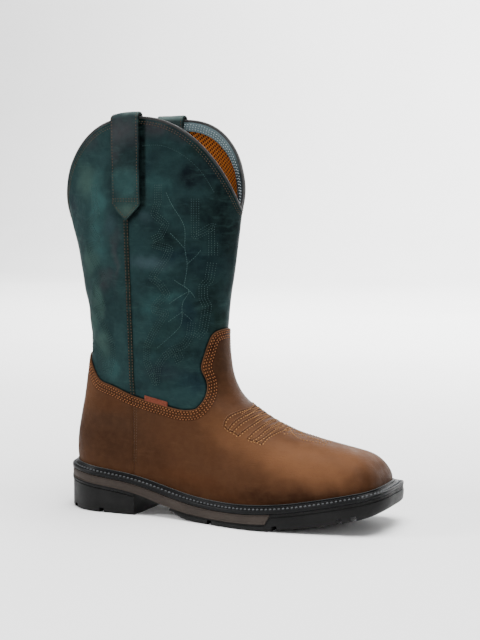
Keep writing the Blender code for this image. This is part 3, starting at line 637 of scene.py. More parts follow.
class Surface:
    """A material and short calls for its nodes."""

    def __init__(self, name):
        self.material = bpy.data.materials.new(name)
        self.material.use_nodes = True
        self.tree = self.material.node_tree
        self.shader = self.tree.nodes["Principled BSDF"]
        self.place = self.add("ShaderNodeTexCoord").outputs["Object"]

    def add(self, kind, settings=None, **inputs):
        node = self.tree.nodes.new(kind)
        for key, value in (settings or {}).items():
            setattr(node, key, value)
        for key, value in inputs.items():
            self.put(node.inputs[key.replace("_", " ")], value)
        return node

    def put(self, socket, value):
        if isinstance(value, bpy.types.NodeSocket):
            self.tree.links.new(value, socket)
        else:
            socket.default_value = (*value, 1) if socket.type == "RGBA" else value

    def noise(self, scale, detail=3.0, rough=0.55, twist=0.0, place=None):
        inputs = {"Scale": scale, "Detail": detail, "Roughness": rough, "Distortion": twist}
        node = self.add("ShaderNodeTexNoise", Vector=place or self.place, **inputs)
        return node.outputs["Fac"]

    def mottle(self, low, high, *noise):
        """Noise with its levels from low to high spread over 0 to 1."""
        return self.spread(self.noise(*noise), low, high)

    def cells(self, scale):
        node = self.add("ShaderNodeTexVoronoi", Vector=self.place, Scale=scale)
        return node.outputs["Distance"]

    def spread(self, value, low, high, to_low=0.0, to_high=1.0):
        node = self.add("ShaderNodeMapRange", {"interpolation_type": "SMOOTHSTEP"}, Value=value)
        limits = {"From Min": low, "From Max": high, "To Min": to_low, "To Max": to_high}
        for key, number in limits.items():
            node.inputs[key].default_value = number
        return node.outputs["Result"]

    def math(self, operation, a, b=0.0):
        node = self.add("ShaderNodeMath", {"operation": operation})
        self.put(node.inputs[0], a)
        self.put(node.inputs[1], b)
        return node.outputs[0]

    def times(self, a, b):
        return self.math("MULTIPLY", a, b)

    def mix(self, amount, a, b):
        node = self.add("ShaderNodeMix", {"data_type": "RGBA"}, Factor=amount)
        for socket, value in zip([s for s in node.inputs if s.type == "RGBA"], (a, b)):
            self.put(socket, value)
        return [s for s in node.outputs if s.type == "RGBA"][0]

    def attribute(self, name, output="Color"):
        return self.add("ShaderNodeAttribute", {"attribute_name": name}).outputs[output]

    def stretched(self, x, y, z):
        node = self.add("ShaderNodeMapping", Vector=self.place)
        node.inputs["Scale"].default_value = (x, y, z)
        return node.outputs["Vector"]

    def bump(self, height, distance, under=None, strength=1.0):
        node = self.add("ShaderNodeBump", Height=height, Distance=distance, Strength=strength)
        if under:
            self.put(node.inputs["Normal"], under)
        return node.outputs["Normal"]

    def finish(self, colour, roughness, normal, gloss):
        self.put(self.shader.inputs["Base Color"], colour)
        self.put(self.shader.inputs["Roughness"], roughness)
        self.put(self.shader.inputs["Specular IOR Level"], gloss)
        if normal:
            self.put(self.shader.inputs["Normal"], normal)
        return self.material


def leather(name, light, dark, rough, grain, clouds, streaks, wrinkle, specks=0.18):
    """Waxed pull-up leather: painted tone, clouds, scuffs, fine wrinkles and a grain."""
    s = Surface(name)
    broad = s.mottle(0.36, 0.66, 15, 4, 0.55, 0.8)
    cloud = s.mottle(0.36, 0.70, 42, 6, 0.62, 0.5)
    small = s.mottle(0.30, 0.72, 170, 4, 0.6)
    scuff = s.mottle(0.50, 0.80, 1.0, 6, 0.66, 0.6, s.stretched(55, 55, 210))
    colour = s.mix(s.times(broad, clouds), s.attribute("tone"), dark)
    colour = s.mix(s.times(cloud, 0.8 * clouds), colour, dark)
    colour = s.mix(s.times(small, specks), colour, light)
    colour = s.mix(s.times(scuff, streaks), colour, light)
    pores = s.cells(1150)
    colour = s.mix(s.spread(pores, 0.0, 0.35, 0.25, 0.0), colour, dark)
    lines = s.noise(1.0, 4, 0.6, 0.9, s.stretched(120, 120, 620))
    pitted = s.math("ADD", pores, s.times(s.noise(1900, 2, 0.5), 0.5))
    normal = s.bump(s.noise(230, 4, 0.6), 0.00024 * grain, None, 0.7)
    normal = s.bump(lines, 0.00030 * wrinkle, normal, 0.7)
    normal = s.bump(s.cells(430), 0.00017 * grain, normal, 0.6)
    normal = s.bump(pitted, 0.00010 * grain, normal, 0.6)
    roughness = s.spread(s.noise(90, 4, 0.6), 0.3, 0.7, rough - 0.09, rough + 0.09)
    return s.finish(colour, roughness, normal, 0.02)


def rubber(name, colour, rough, grain=1.0, dust=0.12, gloss=0.10, painted=False):
    """Moulded rubber or edge paint with paler dusty patches, plain or in a painted tone."""
    s = Surface(name)
    pale = tuple(min(1.0, 2.2 * c + 0.008) for c in colour)
    base = s.attribute("tone") if painted else colour
    shade = s.mix(s.times(s.mottle(0.40, 0.75, 45, 5, 0.62), dust), base, pale)
    shade = s.mix(s.times(s.mottle(0.55, 0.75, 700, 2, 0.5), 0.10), shade, pale)
    normal = s.bump(s.noise(1400, 3, 0.6), 0.00006 * grain, None, 0.6)
    normal = s.bump(s.noise(120, 3, 0.5), 0.00018 * grain, normal, 0.4)
    roughness = s.spread(s.noise(70, 4, 0.6), 0.3, 0.7, rough - 0.08, rough + 0.08)
    return s.finish(shade, roughness, normal, gloss)


def thread(name, colour, rough=0.62):
    s = Surface(name)
    dark = tuple(0.55 * c for c in colour)
    shade = s.mix(s.mottle(0.3, 0.7, 900, 3, 0.6), dark, colour)
    shade = s.mix(s.times(s.mottle(0.35, 0.7, 60, 2, 0.5), 0.35), shade, dark)
    normal = s.bump(s.noise(2200, 2, 0.5), 0.00008, None, 0.7)
    return s.finish(shade, rough, normal, 0.06)


def cloth(name, colour, pitch):
    """A plain weave in object space, used on the footbed."""
    s = Surface(name)
    split = s.add("ShaderNodeSeparateXYZ", Vector=s.place).outputs
    waves_xy = [s.math("SINE", s.times(split[axis], 2 * math.pi / pitch)) for axis in "XY"]
    height = s.spread(s.times(*waves_xy), -1, 1)
    # The weave's low parts are darker: painted shade
    shade = s.mix(height, tuple(0.45 * c for c in colour), colour)
    return s.finish(shade, 0.9, s.bump(height, 0.0003, None, 0.8), 0.1)


def lining_mesh(name):
    """Orange spacer mesh with staggered round holes, laid out by its own map."""
    s = Surface(name)
    place = s.add("ShaderNodeSeparateXYZ", Vector=s.attribute("weave", "Vector")).outputs
    pitch, row_pitch, hole, edge = 0.0032, 0.0023, 0.00080, 0.00115
    row = s.math("DIVIDE", place["Y"], row_pitch)
    stagger = s.times(s.math("MODULO", s.math("FLOOR", row), 2.0), 0.5)
    column = s.math("ADD", s.math("DIVIDE", place["X"], pitch), stagger)
    squares = []
    for part, size in ((column, pitch), (row, row_pitch)):
        off = s.times(s.math("SUBTRACT", s.math("FRACT", part), 0.5), size)
        squares.append(s.times(off, off))
    body = s.spread(s.math("SQRT", s.math("ADD", *squares)), hole, edge)
    yarn = s.mottle(0.3, 0.7, 2600, 2, 0.6)
    colour = s.mix(yarn, (0.17, 0.046, 0.007), (0.33, 0.100, 0.017))
    # The holes are painted near black: painted shade in them
    colour = s.mix(body, (0.014, 0.005, 0.002), colour)
    normal = s.bump(yarn, 0.00015, s.bump(body, 0.0009), 0.7)
    return s.finish(colour, 0.85, normal, 0.05)


TEAL_LIGHT = (0.026, 0.058, 0.053)
TEAL_DARK = (0.0018, 0.0040, 0.0055)
BROWN_LIGHT = (0.12, 0.058, 0.028)
BROWN_DARK = (0.018, 0.0075, 0.0036)
FACING_LIGHT = (0.20, 0.27, 0.29)
FACING_DARK = (0.030, 0.046, 0.052)

M_SHAFT = leather("boot_shaft_leather", TEAL_LIGHT, TEAL_DARK, 0.54, 1.0, 0.38, 0.30, 0.6, 0.12)
M_FOOT = leather("boot_foot_leather", BROWN_LIGHT, BROWN_DARK, 0.50, 0.7, 0.08, 0.10, 1.0, 0.08)
M_FACING = leather("boot_facing_leather", FACING_LIGHT, FACING_DARK, 0.55, 0.9, 0.35, 0.15, 0.5)
M_EDGE = rubber("boot_edge_paint", (0.018, 0.018, 0.018), 0.36, 2.0, 0.5)
M_MESH = lining_mesh("boot_lining_mesh")
M_WELT = rubber("boot_welt_rubber", (0.0050, 0.0052, 0.0055), 0.40, 1.0, 0.14, 0.08, True)
M_SOLE = rubber("boot_sole_rubber", (0.0058, 0.0058, 0.0058), 0.48, 1.4, 0.26, 0.08)
M_MIDSOLE = rubber("boot_midsole_rubber", (0.030, 0.0240, 0.0205), 0.58, 1.5, 0.20, 0.06)
M_INSOLE = cloth("boot_insole_cloth", (0.09, 0.09, 0.095), 0.0012)
M_ORANGE = thread("boot_thread_orange", (0.27, 0.105, 0.040))
M_RUST = thread("boot_thread_rust", (0.072, 0.044, 0.026))
M_GOLD = thread("boot_thread_gold", (0.31, 0.152, 0.060))
# Ridges in a pale tan: raised leather with a painted highlight; a near-black row stands for painted
# shade between them
M_RIDGE = thread("boot_ridge_leather", (0.125, 0.058, 0.027))
M_SHADE_ROW = thread("boot_painted_shade_row", (0.012, 0.0048, 0.0022))
M_GREEN = thread("boot_thread_green", (0.044, 0.088, 0.085))
M_TEAL_THREAD = thread("boot_thread_teal", (0.036, 0.068, 0.065))
M_PALE = thread("boot_thread_pale", (0.44, 0.50, 0.53))
M_WELT_THREAD = thread("boot_thread_welt", (0.095, 0.100, 0.105), 0.6)
M_TAG = thread("boot_tag_weave", (0.135, 0.036, 0.021), 0.8)


# Painted tones: soft patches listed for each side

def paint(points, normals, base, patches):
    """Tones: soft oval patches of colour mixed into a base, by side, x and z."""
    colour = np.tile(np.array(base, float), (len(points), 1))
    wobble = np.array([
        0.007 * noise_vector(Vector(point) * 48) + 0.0035 * noise_vector(Vector(point) * 150)
        for point in points
    ])
    for side, x, z, wide, tall, tilt, shade, amount in patches:
        dx, dz = points[:, 0] + wobble[:, 0] - x, points[:, 2] + 0.7 * wobble[:, 2] - z
        c, s = math.cos(math.radians(tilt)), math.sin(math.radians(tilt))
        u, v = (dx * c + dz * s) / wide, (-dx * s + dz * c) / tall
        weight = amount * np.exp(-((u * u + v * v) ** 1.5))
        if side:
            weight = weight * smooth_step(normals[:, 1] * side, -0.25, 0.25)
        colour += weight[:, None] * (np.array(shade) - colour)
    return np.column_stack([colour, np.ones(len(colour))])


TEAL = (0.0095, 0.0235, 0.0245)
SAGE = (0.046, 0.090, 0.074)
AQUA = (0.030, 0.082, 0.080)
SLATE = (0.030, 0.050, 0.058)
MAUVE = (0.030, 0.0265, 0.030)
NAVY = (0.0022, 0.0034, 0.0052)
BLACKISH = (0.0012, 0.0026, 0.0026)
FOREST = (0.0030, 0.0078, 0.0062)
BLUE = (0.0040, 0.0105, 0.0160)
PIXEL = 0.00087
OUTER_SHAFT = [
    # place in the photograph, half length, half height in its pixels, tilt, colour, amount
    (90, 140, 12, 10, 0, MAUVE, 0.40), (86, 180, 13, 17, 15, SAGE, 0.50),
    (98, 198, 10, 26, 5, AQUA, 0.62), (74, 205, 6, 14, 0, BLUE, 0.75),
    (96, 238, 12, 24, 5, AQUA, 0.52), (108, 222, 6, 12, 0, SLATE, 0.45),
    (90, 262, 9, 16, 0, SAGE, 0.52), (106, 282, 9, 11, 0, MAUVE, 0.60),
    (116, 258, 4, 30, 0, MAUVE, 0.65), (98, 301, 9, 16, 0, SAGE, 0.60),
    (94, 324, 8, 16, 0, SAGE, 0.42), (104, 344, 9, 14, 0, SAGE, 0.55),
    (112, 369, 11, 12, 0, AQUA, 0.35), (152, 130, 16, 8, -4, MAUVE, 0.85),
    (178, 134, 12, 6, -18, MAUVE, 0.40), (154, 154, 10, 9, 0, NAVY, 0.50),
    (146, 165, 6, 9, 0, BLUE, 0.40), (200, 153, 13, 8, -42, FOREST, 0.85),
    (189, 177, 15, 13, 5, NAVY, 0.97), (158, 182, 12, 10, 0, AQUA, 0.20),
    (208, 170, 11, 9, -20, NAVY, 0.70), (222, 192, 15, 10, -44, BLACKISH, 0.80),
    (228, 230, 11, 40, 4, BLACKISH, 0.85), (210, 214, 15, 17, 0, BLACKISH, 0.70),
    (148, 222, 16, 12, 0, NAVY, 0.45), (168, 238, 16, 11, 0, BLACKISH, 0.75),
    (190, 206, 12, 10, 0, NAVY, 0.55), (142, 216, 7, 4, 20, SLATE, 0.45),
    (150, 262, 22, 6, 0, SLATE, 0.72), (180, 255, 18, 6, 0, BLUE, 0.85),
    (206, 264, 15, 12, 0, BLUE, 0.50), (150, 284, 14, 5, 0, NAVY, 0.45),
    (164, 298, 22, 5, 0, AQUA, 0.45), (146, 308, 12, 6, 0, AQUA, 0.40),
    (187, 314, 9, 20, 0, BLUE, 0.85), (208, 302, 12, 24, 0, BLACKISH, 0.70),
    (160, 330, 16, 7, 0, FOREST, 0.30), (150, 348, 13, 8, 0, FOREST, 0.55),
    (184, 350, 14, 11, 0, BLACKISH, 0.50), (164, 372, 18, 7, 0, MAUVE, 0.30),
    (164, 372, 18, 7, 0, BLUE, 0.50), (191, 382, 13, 10, 0, BLUE, 0.80),
    (142, 384, 10, 5, 0, NAVY, 0.45), (216, 322, 6, 14, 10, FOREST, 0.75),
]
SHAFT_PATCHES = [
    # side, x, z, half length, half height, tilt, colour, amount
    (1, 0.030, 0.290, 0.026, 0.026, 15, SAGE, 0.37),
    (1, 0.112, 0.310, 0.024, 0.016, -20, NAVY, 0.43),
    (1, 0.088, 0.285, 0.018, 0.012, 0, MAUVE, 0.31),
    (1, 0.126, 0.270, 0.018, 0.022, -30, FOREST, 0.37),
    (1, 0.036, 0.248, 0.016, 0.018, 10, AQUA, 0.37),
    (1, 0.062, 0.236, 0.026, 0.010, 8, BLACKISH, 0.31),
    (1, 0.108, 0.226, 0.024, 0.010, 0, SLATE, 0.43),
    (1, 0.110, 0.204, 0.018, 0.014, 0, BLUE, 0.31),
    (1, 0.030, 0.196, 0.014, 0.030, 10, SAGE, 0.34),
    (1, 0.056, 0.186, 0.012, 0.014, 0, MAUVE, 0.28),
    (1, 0.096, 0.170, 0.022, 0.008, -6, AQUA, 0.37),
    (1, 0.112, 0.146, 0.020, 0.012, -12, NAVY, 0.37),
    (1, 0.060, 0.140, 0.024, 0.012, -20, FOREST, 0.28),
    (1, 0.132, 0.180, 0.012, 0.030, 0, BLACKISH, 0.31),
    (0, 0.152, 0.225, 0.020, 0.030, 0, BLACKISH, 0.30),
    (0, 0.008, 0.190, 0.012, 0.050, 0, SAGE, 0.30),
]
LINING_PATCHES = [
    # columns as in the shaft's patches
    # The two dark patches at the front are painted shade inside the collar's front
    (0, 0.160, 0.284, 0.026, 0.040, 0, (0.0010, 0.0022, 0.0034), 1.0),
    (0, 0.150, 0.284, 0.014, 0.018, 0, (0.0010, 0.0022, 0.0034), 0.9),
    (0, 0.004, 0.276, 0.020, 0.030, 0, (0.003, 0.006, 0.009), 0.90),
    (0, 0.100, 0.336, 0.020, 0.010, 0, (0.070, 0.100, 0.110), 0.50),
]
BROWN = (0.044, 0.0190, 0.0090)
UMBER = (0.022, 0.0090, 0.0042)
TAN = (0.128, 0.057, 0.026)
RUSSET = (0.044, 0.0165, 0.0064)
FOOT_PATCHES = [
    # columns as in the shaft's patches
    # Pale tan over the vamp and toe is pull-up wear with a painted highlight from above; the broad
    # umber bands low along the welt are painted shade
    (-1, 0.236, 0.056, 0.036, 0.016, -10, TAN, 0.75),
    (-1, 0.196, 0.066, 0.034, 0.016, -15, TAN, 0.45),
    (-1, 0.270, 0.050, 0.020, 0.014, -20, TAN, 0.40),
    (-1, 0.282, 0.046, 0.010, 0.012, 0, UMBER, 0.55),
    (-1, 0.200, 0.027, 0.100, 0.008, -2, UMBER, 1.0),
    (-1, 0.140, 0.034, 0.050, 0.010, -12, RUSSET, 0.70),
    (-1, 0.160, 0.082, 0.024, 0.012, -25, TAN, 0.30),
    (-1, 0.118, 0.070, 0.022, 0.018, -10, BROWN, 0.60),
    (-1, 0.092, 0.052, 0.020, 0.016, 0, UMBER, 0.45),
    (-1, 0.046, 0.076, 0.046, 0.034, 0, (0.022, 0.0125, 0.0080), 0.60),
    (-1, 0.060, 0.060, 0.022, 0.016, 0, UMBER, 0.50),
    (-1, 0.030, 0.068, 0.020, 0.014, 0, UMBER, 0.45),
    (-1, 0.020, 0.106, 0.016, 0.018, 0, TAN, 0.25),
    (-1, 0.050, 0.096, 0.022, 0.010, -15, RUSSET, 0.50),
    (-1, 0.148, 0.140, 0.012, 0.032, 0, (0.014, 0.0068, 0.0036), 0.75),
    (1, 0.236, 0.054, 0.036, 0.016, -10, TAN, 0.6),
    (1, 0.190, 0.060, 0.034, 0.016, -15, BROWN, 0.5),
    (1, 0.210, 0.030, 0.070, 0.007, -2, UMBER, 0.65),
    (1, 0.130, 0.050, 0.040, 0.014, -12, RUSSET, 0.6),
    (1, 0.050, 0.070, 0.026, 0.022, 0, UMBER, 0.5),
    (1, 0.100, 0.076, 0.020, 0.014, -10, TAN, 0.3),
    (0, 0.268, 0.066, 0.026, 0.008, -20, TAN, 0.5),
    (0, 0.297, 0.040, 0.010, 0.018, 0, UMBER, 0.60),
]


def seen(rows):
    """Patches of the outer side placed where the photograph shows them."""
    out = []
    for px, py, long, tall, tilt, shade, amount in rows:
        hit = at_pixel(px, py)
        if hit is not None:
            out.append((-1, hit[0], hit[2], long * PIXEL, tall * PIXEL, tilt, shade, amount))
    return out


def beside_strap(points, normals):
    """Share of the strap's dark contact shadow ahead of its front edge, on the outer side."""
    x, z = points[:, 0], points[:, 2]
    edge = STRAP_X + STRAP_WIDTH / 2 * np.clip((z - STRAP_TIP_HEIGHT) / STRAP_SHOULDER, 0, 1)
    off = x - edge
    band = smooth_step(off, -0.003, -0.0015) * (1 - smooth_step(off, 0.0040, 0.0054))
    above = smooth_step(z, STRAP_TIP_HEIGHT - 0.002, STRAP_TIP_HEIGHT + 0.001)
    return band * above * (normals[:, 1] < 0)


# Shaft leather and lining

SHAFT_TUCK = 0.008
FACING_END = 0.0088
FACING_THICKNESS = 0.0009
LINING_START = 0.0078
FACING_TONE = (0.085, 0.120, 0.128)


def map_on_surface():
    """Lengths round and up the surface, for the lining's holes."""
    grid = base_points.reshape(ROWS, -1, 3)
    step_up = np.linalg.norm(np.diff(grid, axis=0), axis=2)
    up = np.vstack([np.zeros(grid.shape[1]), np.cumsum(step_up, axis=0)])
    middle = int(ROWS * 0.8)
    step_round = np.linalg.norm(np.roll(grid[middle], -1, axis=0) - grid[middle], axis=1)
    run = np.concatenate([[0], np.cumsum(step_round)[:-1]])
    return np.column_stack([np.tile(run, ROWS), up.ravel()])


WEAVE_MAP = map_on_surface()


def make_shaft():
    """The blue-green leather, thinned at its rim, from under the brown leather's edge."""
    data = np.column_stack([base_normals, collar_distance, edge_distance])
    points, faces, data = split_at(base_points, BASE_FACES, -edge_distance, data, -SHAFT_TUCK, True)
    cuts = ((4, (-0.0022, -0.0014, -0.0007, 0.0)), (3, (0.0008, 0.0018, 0.0034)))
    points, faces, data, normals = compact(*split_all(points, faces, data, cuts))
    rim = np.abs(data[:, 3])
    sink = 0.0002 * bell(rim - 0.0030, 0.0007) + 0.0006 * np.clip(1 - rim / 0.0010, 0, 1) ** 2
    outer = points - normals * sink[:, None]
    tone = paint(points, normals, TEAL, seen(OUTER_SHAFT) + SHAFT_PATCHES)
    tone[:, :3] *= 1 - 0.97 * beside_strap(points, normals)[:, None]
    # Painted shadow on the shaft along the brown leather's edge: dark under it, fading out 2 mm
    # beyond
    tone[:, :3] *= 0.12 + 0.88 * smooth_step(-data[:, 4], 0.0006, 0.0020)[:, None]
    shaft = make_object("shaft_leather", outer, faces, M_SHAFT, False, 60, {"tone": tone})
    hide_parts("upper")


FRONT_DROP = 0.010


def wide_front(points):
    """How much further down the facing reaches at the front of the collar."""
    return FRONT_DROP * smooth_step(points[:, 0], 0.146, 0.158)


def inner_sheet(low, high=None):
    """A layer inside the boot between two distances from the collar's rim."""
    start = collar_distance if high else collar_distance - wide_front(base_points)
    data = np.column_stack([base_normals, WEAVE_MAP, start])
    points, faces, data = split_at(base_points, BASE_FACES, start, data, low, True)
    if high:
        values = wide_front(points) - data[:, 5]
        points, faces, data = split_at(points, faces, values, data, -high, True)
    points, faces, data, normals = compact(points, faces, data)
    return points, [tuple(reversed(face)) for face in faces], normals, data[:, 3:5]


def make_lining():
    points, faces, normals, _ = inner_sheet(0.0, FACING_END)
    tone = paint(points, normals, FACING_TONE, LINING_PATCHES)
    inside = points - normals * WALL
    facing = make_object("collar_facing", inside, faces, M_FACING, False, 60, {"tone": tone})
    wall = facing.modifiers.new("thickness", "SOLIDIFY")
    wall.thickness = FACING_THICKNESS
    wall.offset = -1
    points, faces, normals, weave = inner_sheet(LINING_START)
    inside = points - normals * (WALL - 0.0007)
    lining = make_object("lining_mesh", inside, faces, M_MESH, False, 60, {"weave": weave})


def make_binding():
    """The rolled, painted edge on the collar."""
    rise = np.cross(TOP_NORMALS, unit(np.roll(TOP_ROW, -1, axis=0) - np.roll(TOP_ROW, 1, axis=0)))
    rise *= np.sign(rise[:, 2:3])
    half = WALL / 2 + 0.00035
    section = []
    for angle in np.linspace(0, math.pi, 10):
        up = (BINDING_HEIGHT - 0.0002) * math.sin(angle) + 0.0001
        section.append((half * math.cos(angle), up))
    section += [(-half * 0.9, -0.0006), (half * 0.9, -0.0006)]
    rings = [TOP_ROW + TOP_NORMALS * (out - WALL / 2) + rise * up for out, up in section]
    faces = grid_faces(len(rings), len(TOP_ROW), True, True)
    piece = make_object("collar_edge", np.vstack(rings), faces, M_EDGE)
    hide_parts("collar_binding")


# Brown leather, cut along its edge

# Depths of the stitch rows: from the leather's edge, and from the collar outside and inside
EDGE_ROWS = (0.0017, 0.0036, 0.0062, 0.0081)
COLLAR_ROWS = (0.0028, 0.0047)
FACING_ROWS = (0.0028, 0.0048, 0.0068)
ROW_DEPTH = 0.00022
RIM_TONE = (0.085, 0.040, 0.020)
# Near black: painted shade at the foot of the brown leather's cut edge, where it meets the leather
# below
UNDER_SHADE = (0.006, 0.003, 0.002, 1.0)
# Extra mesh edges, by distance from the leather's edge and then from the side seam
OVERLAY_CUTS = (
    (3, (0.0003, 0.0006, 0.0010, 0.0014, 0.0017, 0.0021, 0.0027, 0.0033, 0.0036, 0.0040)),
    (3, (0.0058, 0.0062, 0.0066, 0.0072, 0.0078, 0.0081, 0.0085)),
    (4, (0.0004, 0.0009, 0.0016, 0.0020, 0.0024)),
)


def edge_profile(distance, thickness, rows):
    """Height of an overlay by distance from its edge: rounded, pressed at the stitches."""
    height = thickness * (0.62 + 0.38 * round_over(distance, 0.0009))
    for row in rows:
        height = height - ROW_DEPTH * bell(distance - row, 0.00045)
    for low, high in zip(rows[:-1], rows[1:]):
        height = height + 0.00010 * bell(distance - (low + high) / 2, 0.0006)
    return height


def make_overlay(name, node, sign):
    """Vamp (sign 1) or counter (sign -1), meeting at the side seam."""
    seam = sign * (base_points[:, 0] - SEAM_X) - GAP / 2
    data = np.column_stack([base_normals, edge_distance, seam])
    points, faces, data = split_at(base_points, BASE_FACES, seam, data, 0.0, True)
    points, faces, data = split_at(points, faces, data[:, 3], data, 0.0, True)
    points, faces, data, normals = compact(*split_all(points, faces, data, OVERLAY_CUTS))
    distance, seam = data[:, 3], data[:, 4]
    height = edge_profile(distance, OVERLAY, EDGE_ROWS)
    if sign > 0:
        height *= 0.70 + 0.30 * round_over(seam, 0.0009)
        height -= 0.00018 * bell(seam - 0.0020, 0.0004)
    else:
        height *= 0.55 + 0.45 * smooth_step(seam, 0.0, 0.0030)
    outer = points + normals * (GAP + height)[:, None]
    tone = paint(points, normals, BROWN, FOOT_PATCHES)
    rolled = 0.5 * bell(distance, 0.0006)
    tone[:, :3] += rolled[:, None] * (np.array(RIM_TONE) - tone[:, :3])
    # Darker along each stitch row: painted shade in the pressed grooves
    for row in EDGE_ROWS:
        tone[:, :3] *= 1 - 0.72 * bell(distance - row, 0.00065)[:, None]
    lower = {}
    points_out, tones = list(outer), list(tone)
    # The cut edge's wall darkens towards its foot: painted shade
    for i, j in boundary_edges(faces):
        for k in (i, j):
            if k not in lower:
                lower[k] = len(points_out)
                points_out.append(points[k] + normals[k] * 0.00005)
                tones.append(np.array(UNDER_SHADE))
        faces.append((j, i, lower[i], lower[j]))
    attributes = {"tone": np.array(tones)}
    piece = make_object(name, np.array(points_out), faces, M_FOOT, False, 50, attributes)
    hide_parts(node)


# Stitches

def stitch_template(sides, rings):
    """Unit stitch along X: rings of (along, radius, height), closed at its ends."""
    turns = [2 * math.pi * (k + 0.5) / sides for k in range(sides)]
    points = [
        (along, radius * math.cos(turn), radius * math.sin(turn) + height)
        for along, radius, height in rings
        for turn in turns
    ]
    last = (len(rings) - 1) * sides
    ends = [tuple(range(sides))[::-1], tuple(range(last, last + sides))]
    return np.array(points), grid_faces(len(rings), sides) + ends


LONG_STITCH = stitch_template(
    5, [(-0.5, 0.45, -0.6), (-0.34, 0.95, 0.15), (0.34, 0.95, 0.15), (0.5, 0.45, -0.6)]
)
FINE_STITCH = stitch_template(4, [(-0.5, 0.5, -0.5), (0.0, 1.0, 0.2), (0.5, 0.5, -0.5)])
# Material, pitch, length, thread's radius, lift, shape, and the turn of each stitch off its line
STITCHING = {
    "edge_stitches": (M_ORANGE, 0.0029, 0.0014, 0.00038, 0.00018, LONG_STITCH, 0),
    "collar_stitches": (M_RUST, 0.0026, 0.0012, 0.00032, 0.0001, LONG_STITCH, 0),
    "collar_stitches_low": (M_RUST, 0.0026, 0.0012, 0.00032, 0.0001, LONG_STITCH, 0),
    "facing_stitches": (M_PALE, 0.0030, 0.0010, 0.00044, 0.0001, FINE_STITCH, 0),
    "seam_stitches": (M_RUST, 0.0027, 0.0012, 0.00036, 0.0001, LONG_STITCH, 0),
    "counter_seam_stitches": (M_RUST, 0.0024, 0.0014, 0.00032, 0.0001, LONG_STITCH, 0),
    "vine_stitches": (M_GREEN, 0.0020, 0.0016, 0.00032, 0.00015, FINE_STITCH, 0),
    "flame_stitches": (M_TEAL_THREAD, 0.0020, 0.0009, 0.00032, 0.00028, FINE_STITCH, 0),
    "arc_stitches": (M_TEAL_THREAD, 0.0019, 0.0010, 0.00026, 0.0001, FINE_STITCH, 0),
    "instep_stitches": (M_GOLD, 0.0027, 0.0014, 0.00040, 0.00015, LONG_STITCH, 0),
    "instep_ridges": (M_RIDGE, 0.0016, 0.0022, 0.00060, 0.0, FINE_STITCH, 0),
    "instep_painted_shade": (M_SHADE_ROW, 0.0016, 0.0020, 0.00052, 0.0, FINE_STITCH, 0),
    "strap_stitches": (M_RUST, 0.0026, 0.0012, 0.00030, 0.0001, LONG_STITCH, 0),
    "welt_stitches": (M_WELT_THREAD, 0.0038, 0.0021, 0.00070, 0.0002, LONG_STITCH, 0.25),
}


def lay_stitches(name, runs):
    """One mesh of stitches along runs of (x, y, z, normal) rows."""
    material, pitch, length, radius, lift, (shape, shape_faces), slant = STITCHING[name]
    shape = shape * (length, radius, radius)
    points, faces = [], []
    for run in runs:
        if run is None or len(run) < 2:
            continue
        count = int(np.linalg.norm(np.diff(run[:, :3], axis=0), axis=1).sum() / pitch)
        if count < 1:
            continue
        rows = resample(run, count * 2 + 1)
        along = unit(rows[2::2, :3] - rows[:-1:2, :3])
        normal = rows[1::2, 3:6]
        normal = unit(normal - (normal * along).sum(axis=1)[:, None] * along)
        along = along * math.cos(slant) + np.cross(normal, along) * math.sin(slant)
        axes = np.stack([along, np.cross(normal, along), normal], axis=1)
        for centre, turn in zip(rows[1::2, :3] + normal * lift, axes):
            faces += [tuple(len(points) + i for i in face) for face in shape_faces]
            points.extend(centre + shape @ turn)
    piece = make_object(name, np.array(points), faces, material, False, 70)
    return piece


def lines_on_surface(values, iso):
    """Smoothed runs of points on the surface where a value passes iso."""
    return [
        smooth_run(np.column_stack([chain[:, :3], unit(chain[:, 3:6])]))
        for chain in iso_lines(values, iso)
    ]


def smooth_run(run):
    out = run.copy()
    for _ in range(2):
        out[1:-1] = 0.25 * out[:-2] + 0.5 * out[1:-1] + 0.25 * out[2:]
    return out


def raise_runs(runs, height):
    out = []
    for run in runs:
        moved = run.copy()
        moved[:, :3] += moved[:, 3:6] * height
        out.append(moved)
    return out


def side_run(points, side, pitch=0.0015):
    """A line given in side view, laid on the surface of one side."""
    rows = [on_side(x, z, side) for x, z in resample(points, pitch=pitch)]
    rows = [row for row in rows if row is not None]
    return np.array(rows) if len(rows) > 1 else None


def stitch_edges():
    """Four rows along the brown leather's edge."""
    runs = []
    for row in EDGE_ROWS:
        height = GAP + float(edge_profile(np.array([row]), OVERLAY, EDGE_ROWS)[0])
        runs += raise_runs(lines_on_surface(edge_distance, row), height)
    lay_stitches("edge_stitches", runs)


def stitch_collar():
    for name, depth in zip(("collar_stitches", "collar_stitches_low"), COLLAR_ROWS):
        lay_stitches(name, lines_on_surface(collar_distance, depth))
    inside = []
    for depth in FACING_ROWS:
        inside += raise_runs(lines_on_surface(collar_distance, depth), -(WALL + 0.0010))
    for run in inside:
        run[:, 3:6] *= -1
    lay_stitches("facing_stitches", inside)


def make_side_seam(name, node, side):
    """Raised strip with two rows of stitches, from the brown leather to the strap."""
    heights = np.linspace(edge_height(SEAM_X) + 0.0008, STRAP_TIP_HEIGHT + 0.004, 120)
    across = [-1, -0.86, -0.62, -0.5, -0.2, 0.2, 0.5, 0.62, 0.86, 1]
    lift = [0.00005, 0.00075, 0.00072, 0.00080, 0.00095]
    rows = []
    for z in heights:
        for u, up in zip(across, lift + lift[::-1]):
            point = on_side(SEAM_X + u * SEAM_WIDTH / 2, z, side)
            rows.append(np.concatenate([point[:3] + point[3:] * up, point[3:]]))
    rows = np.array(rows)
    faces = grid_faces(len(heights), len(across), False)
    tone = np.tile((0.0060, 0.0100, 0.0085, 1.0), (len(rows), 1))
    piece = make_object(name, rows[:, :3], faces, M_SHAFT, False, 60, {"tone": tone})
    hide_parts(node)
    grid = rows.reshape(len(heights), len(across), 6)
    return [grid[:, 2], grid[:, -3]]


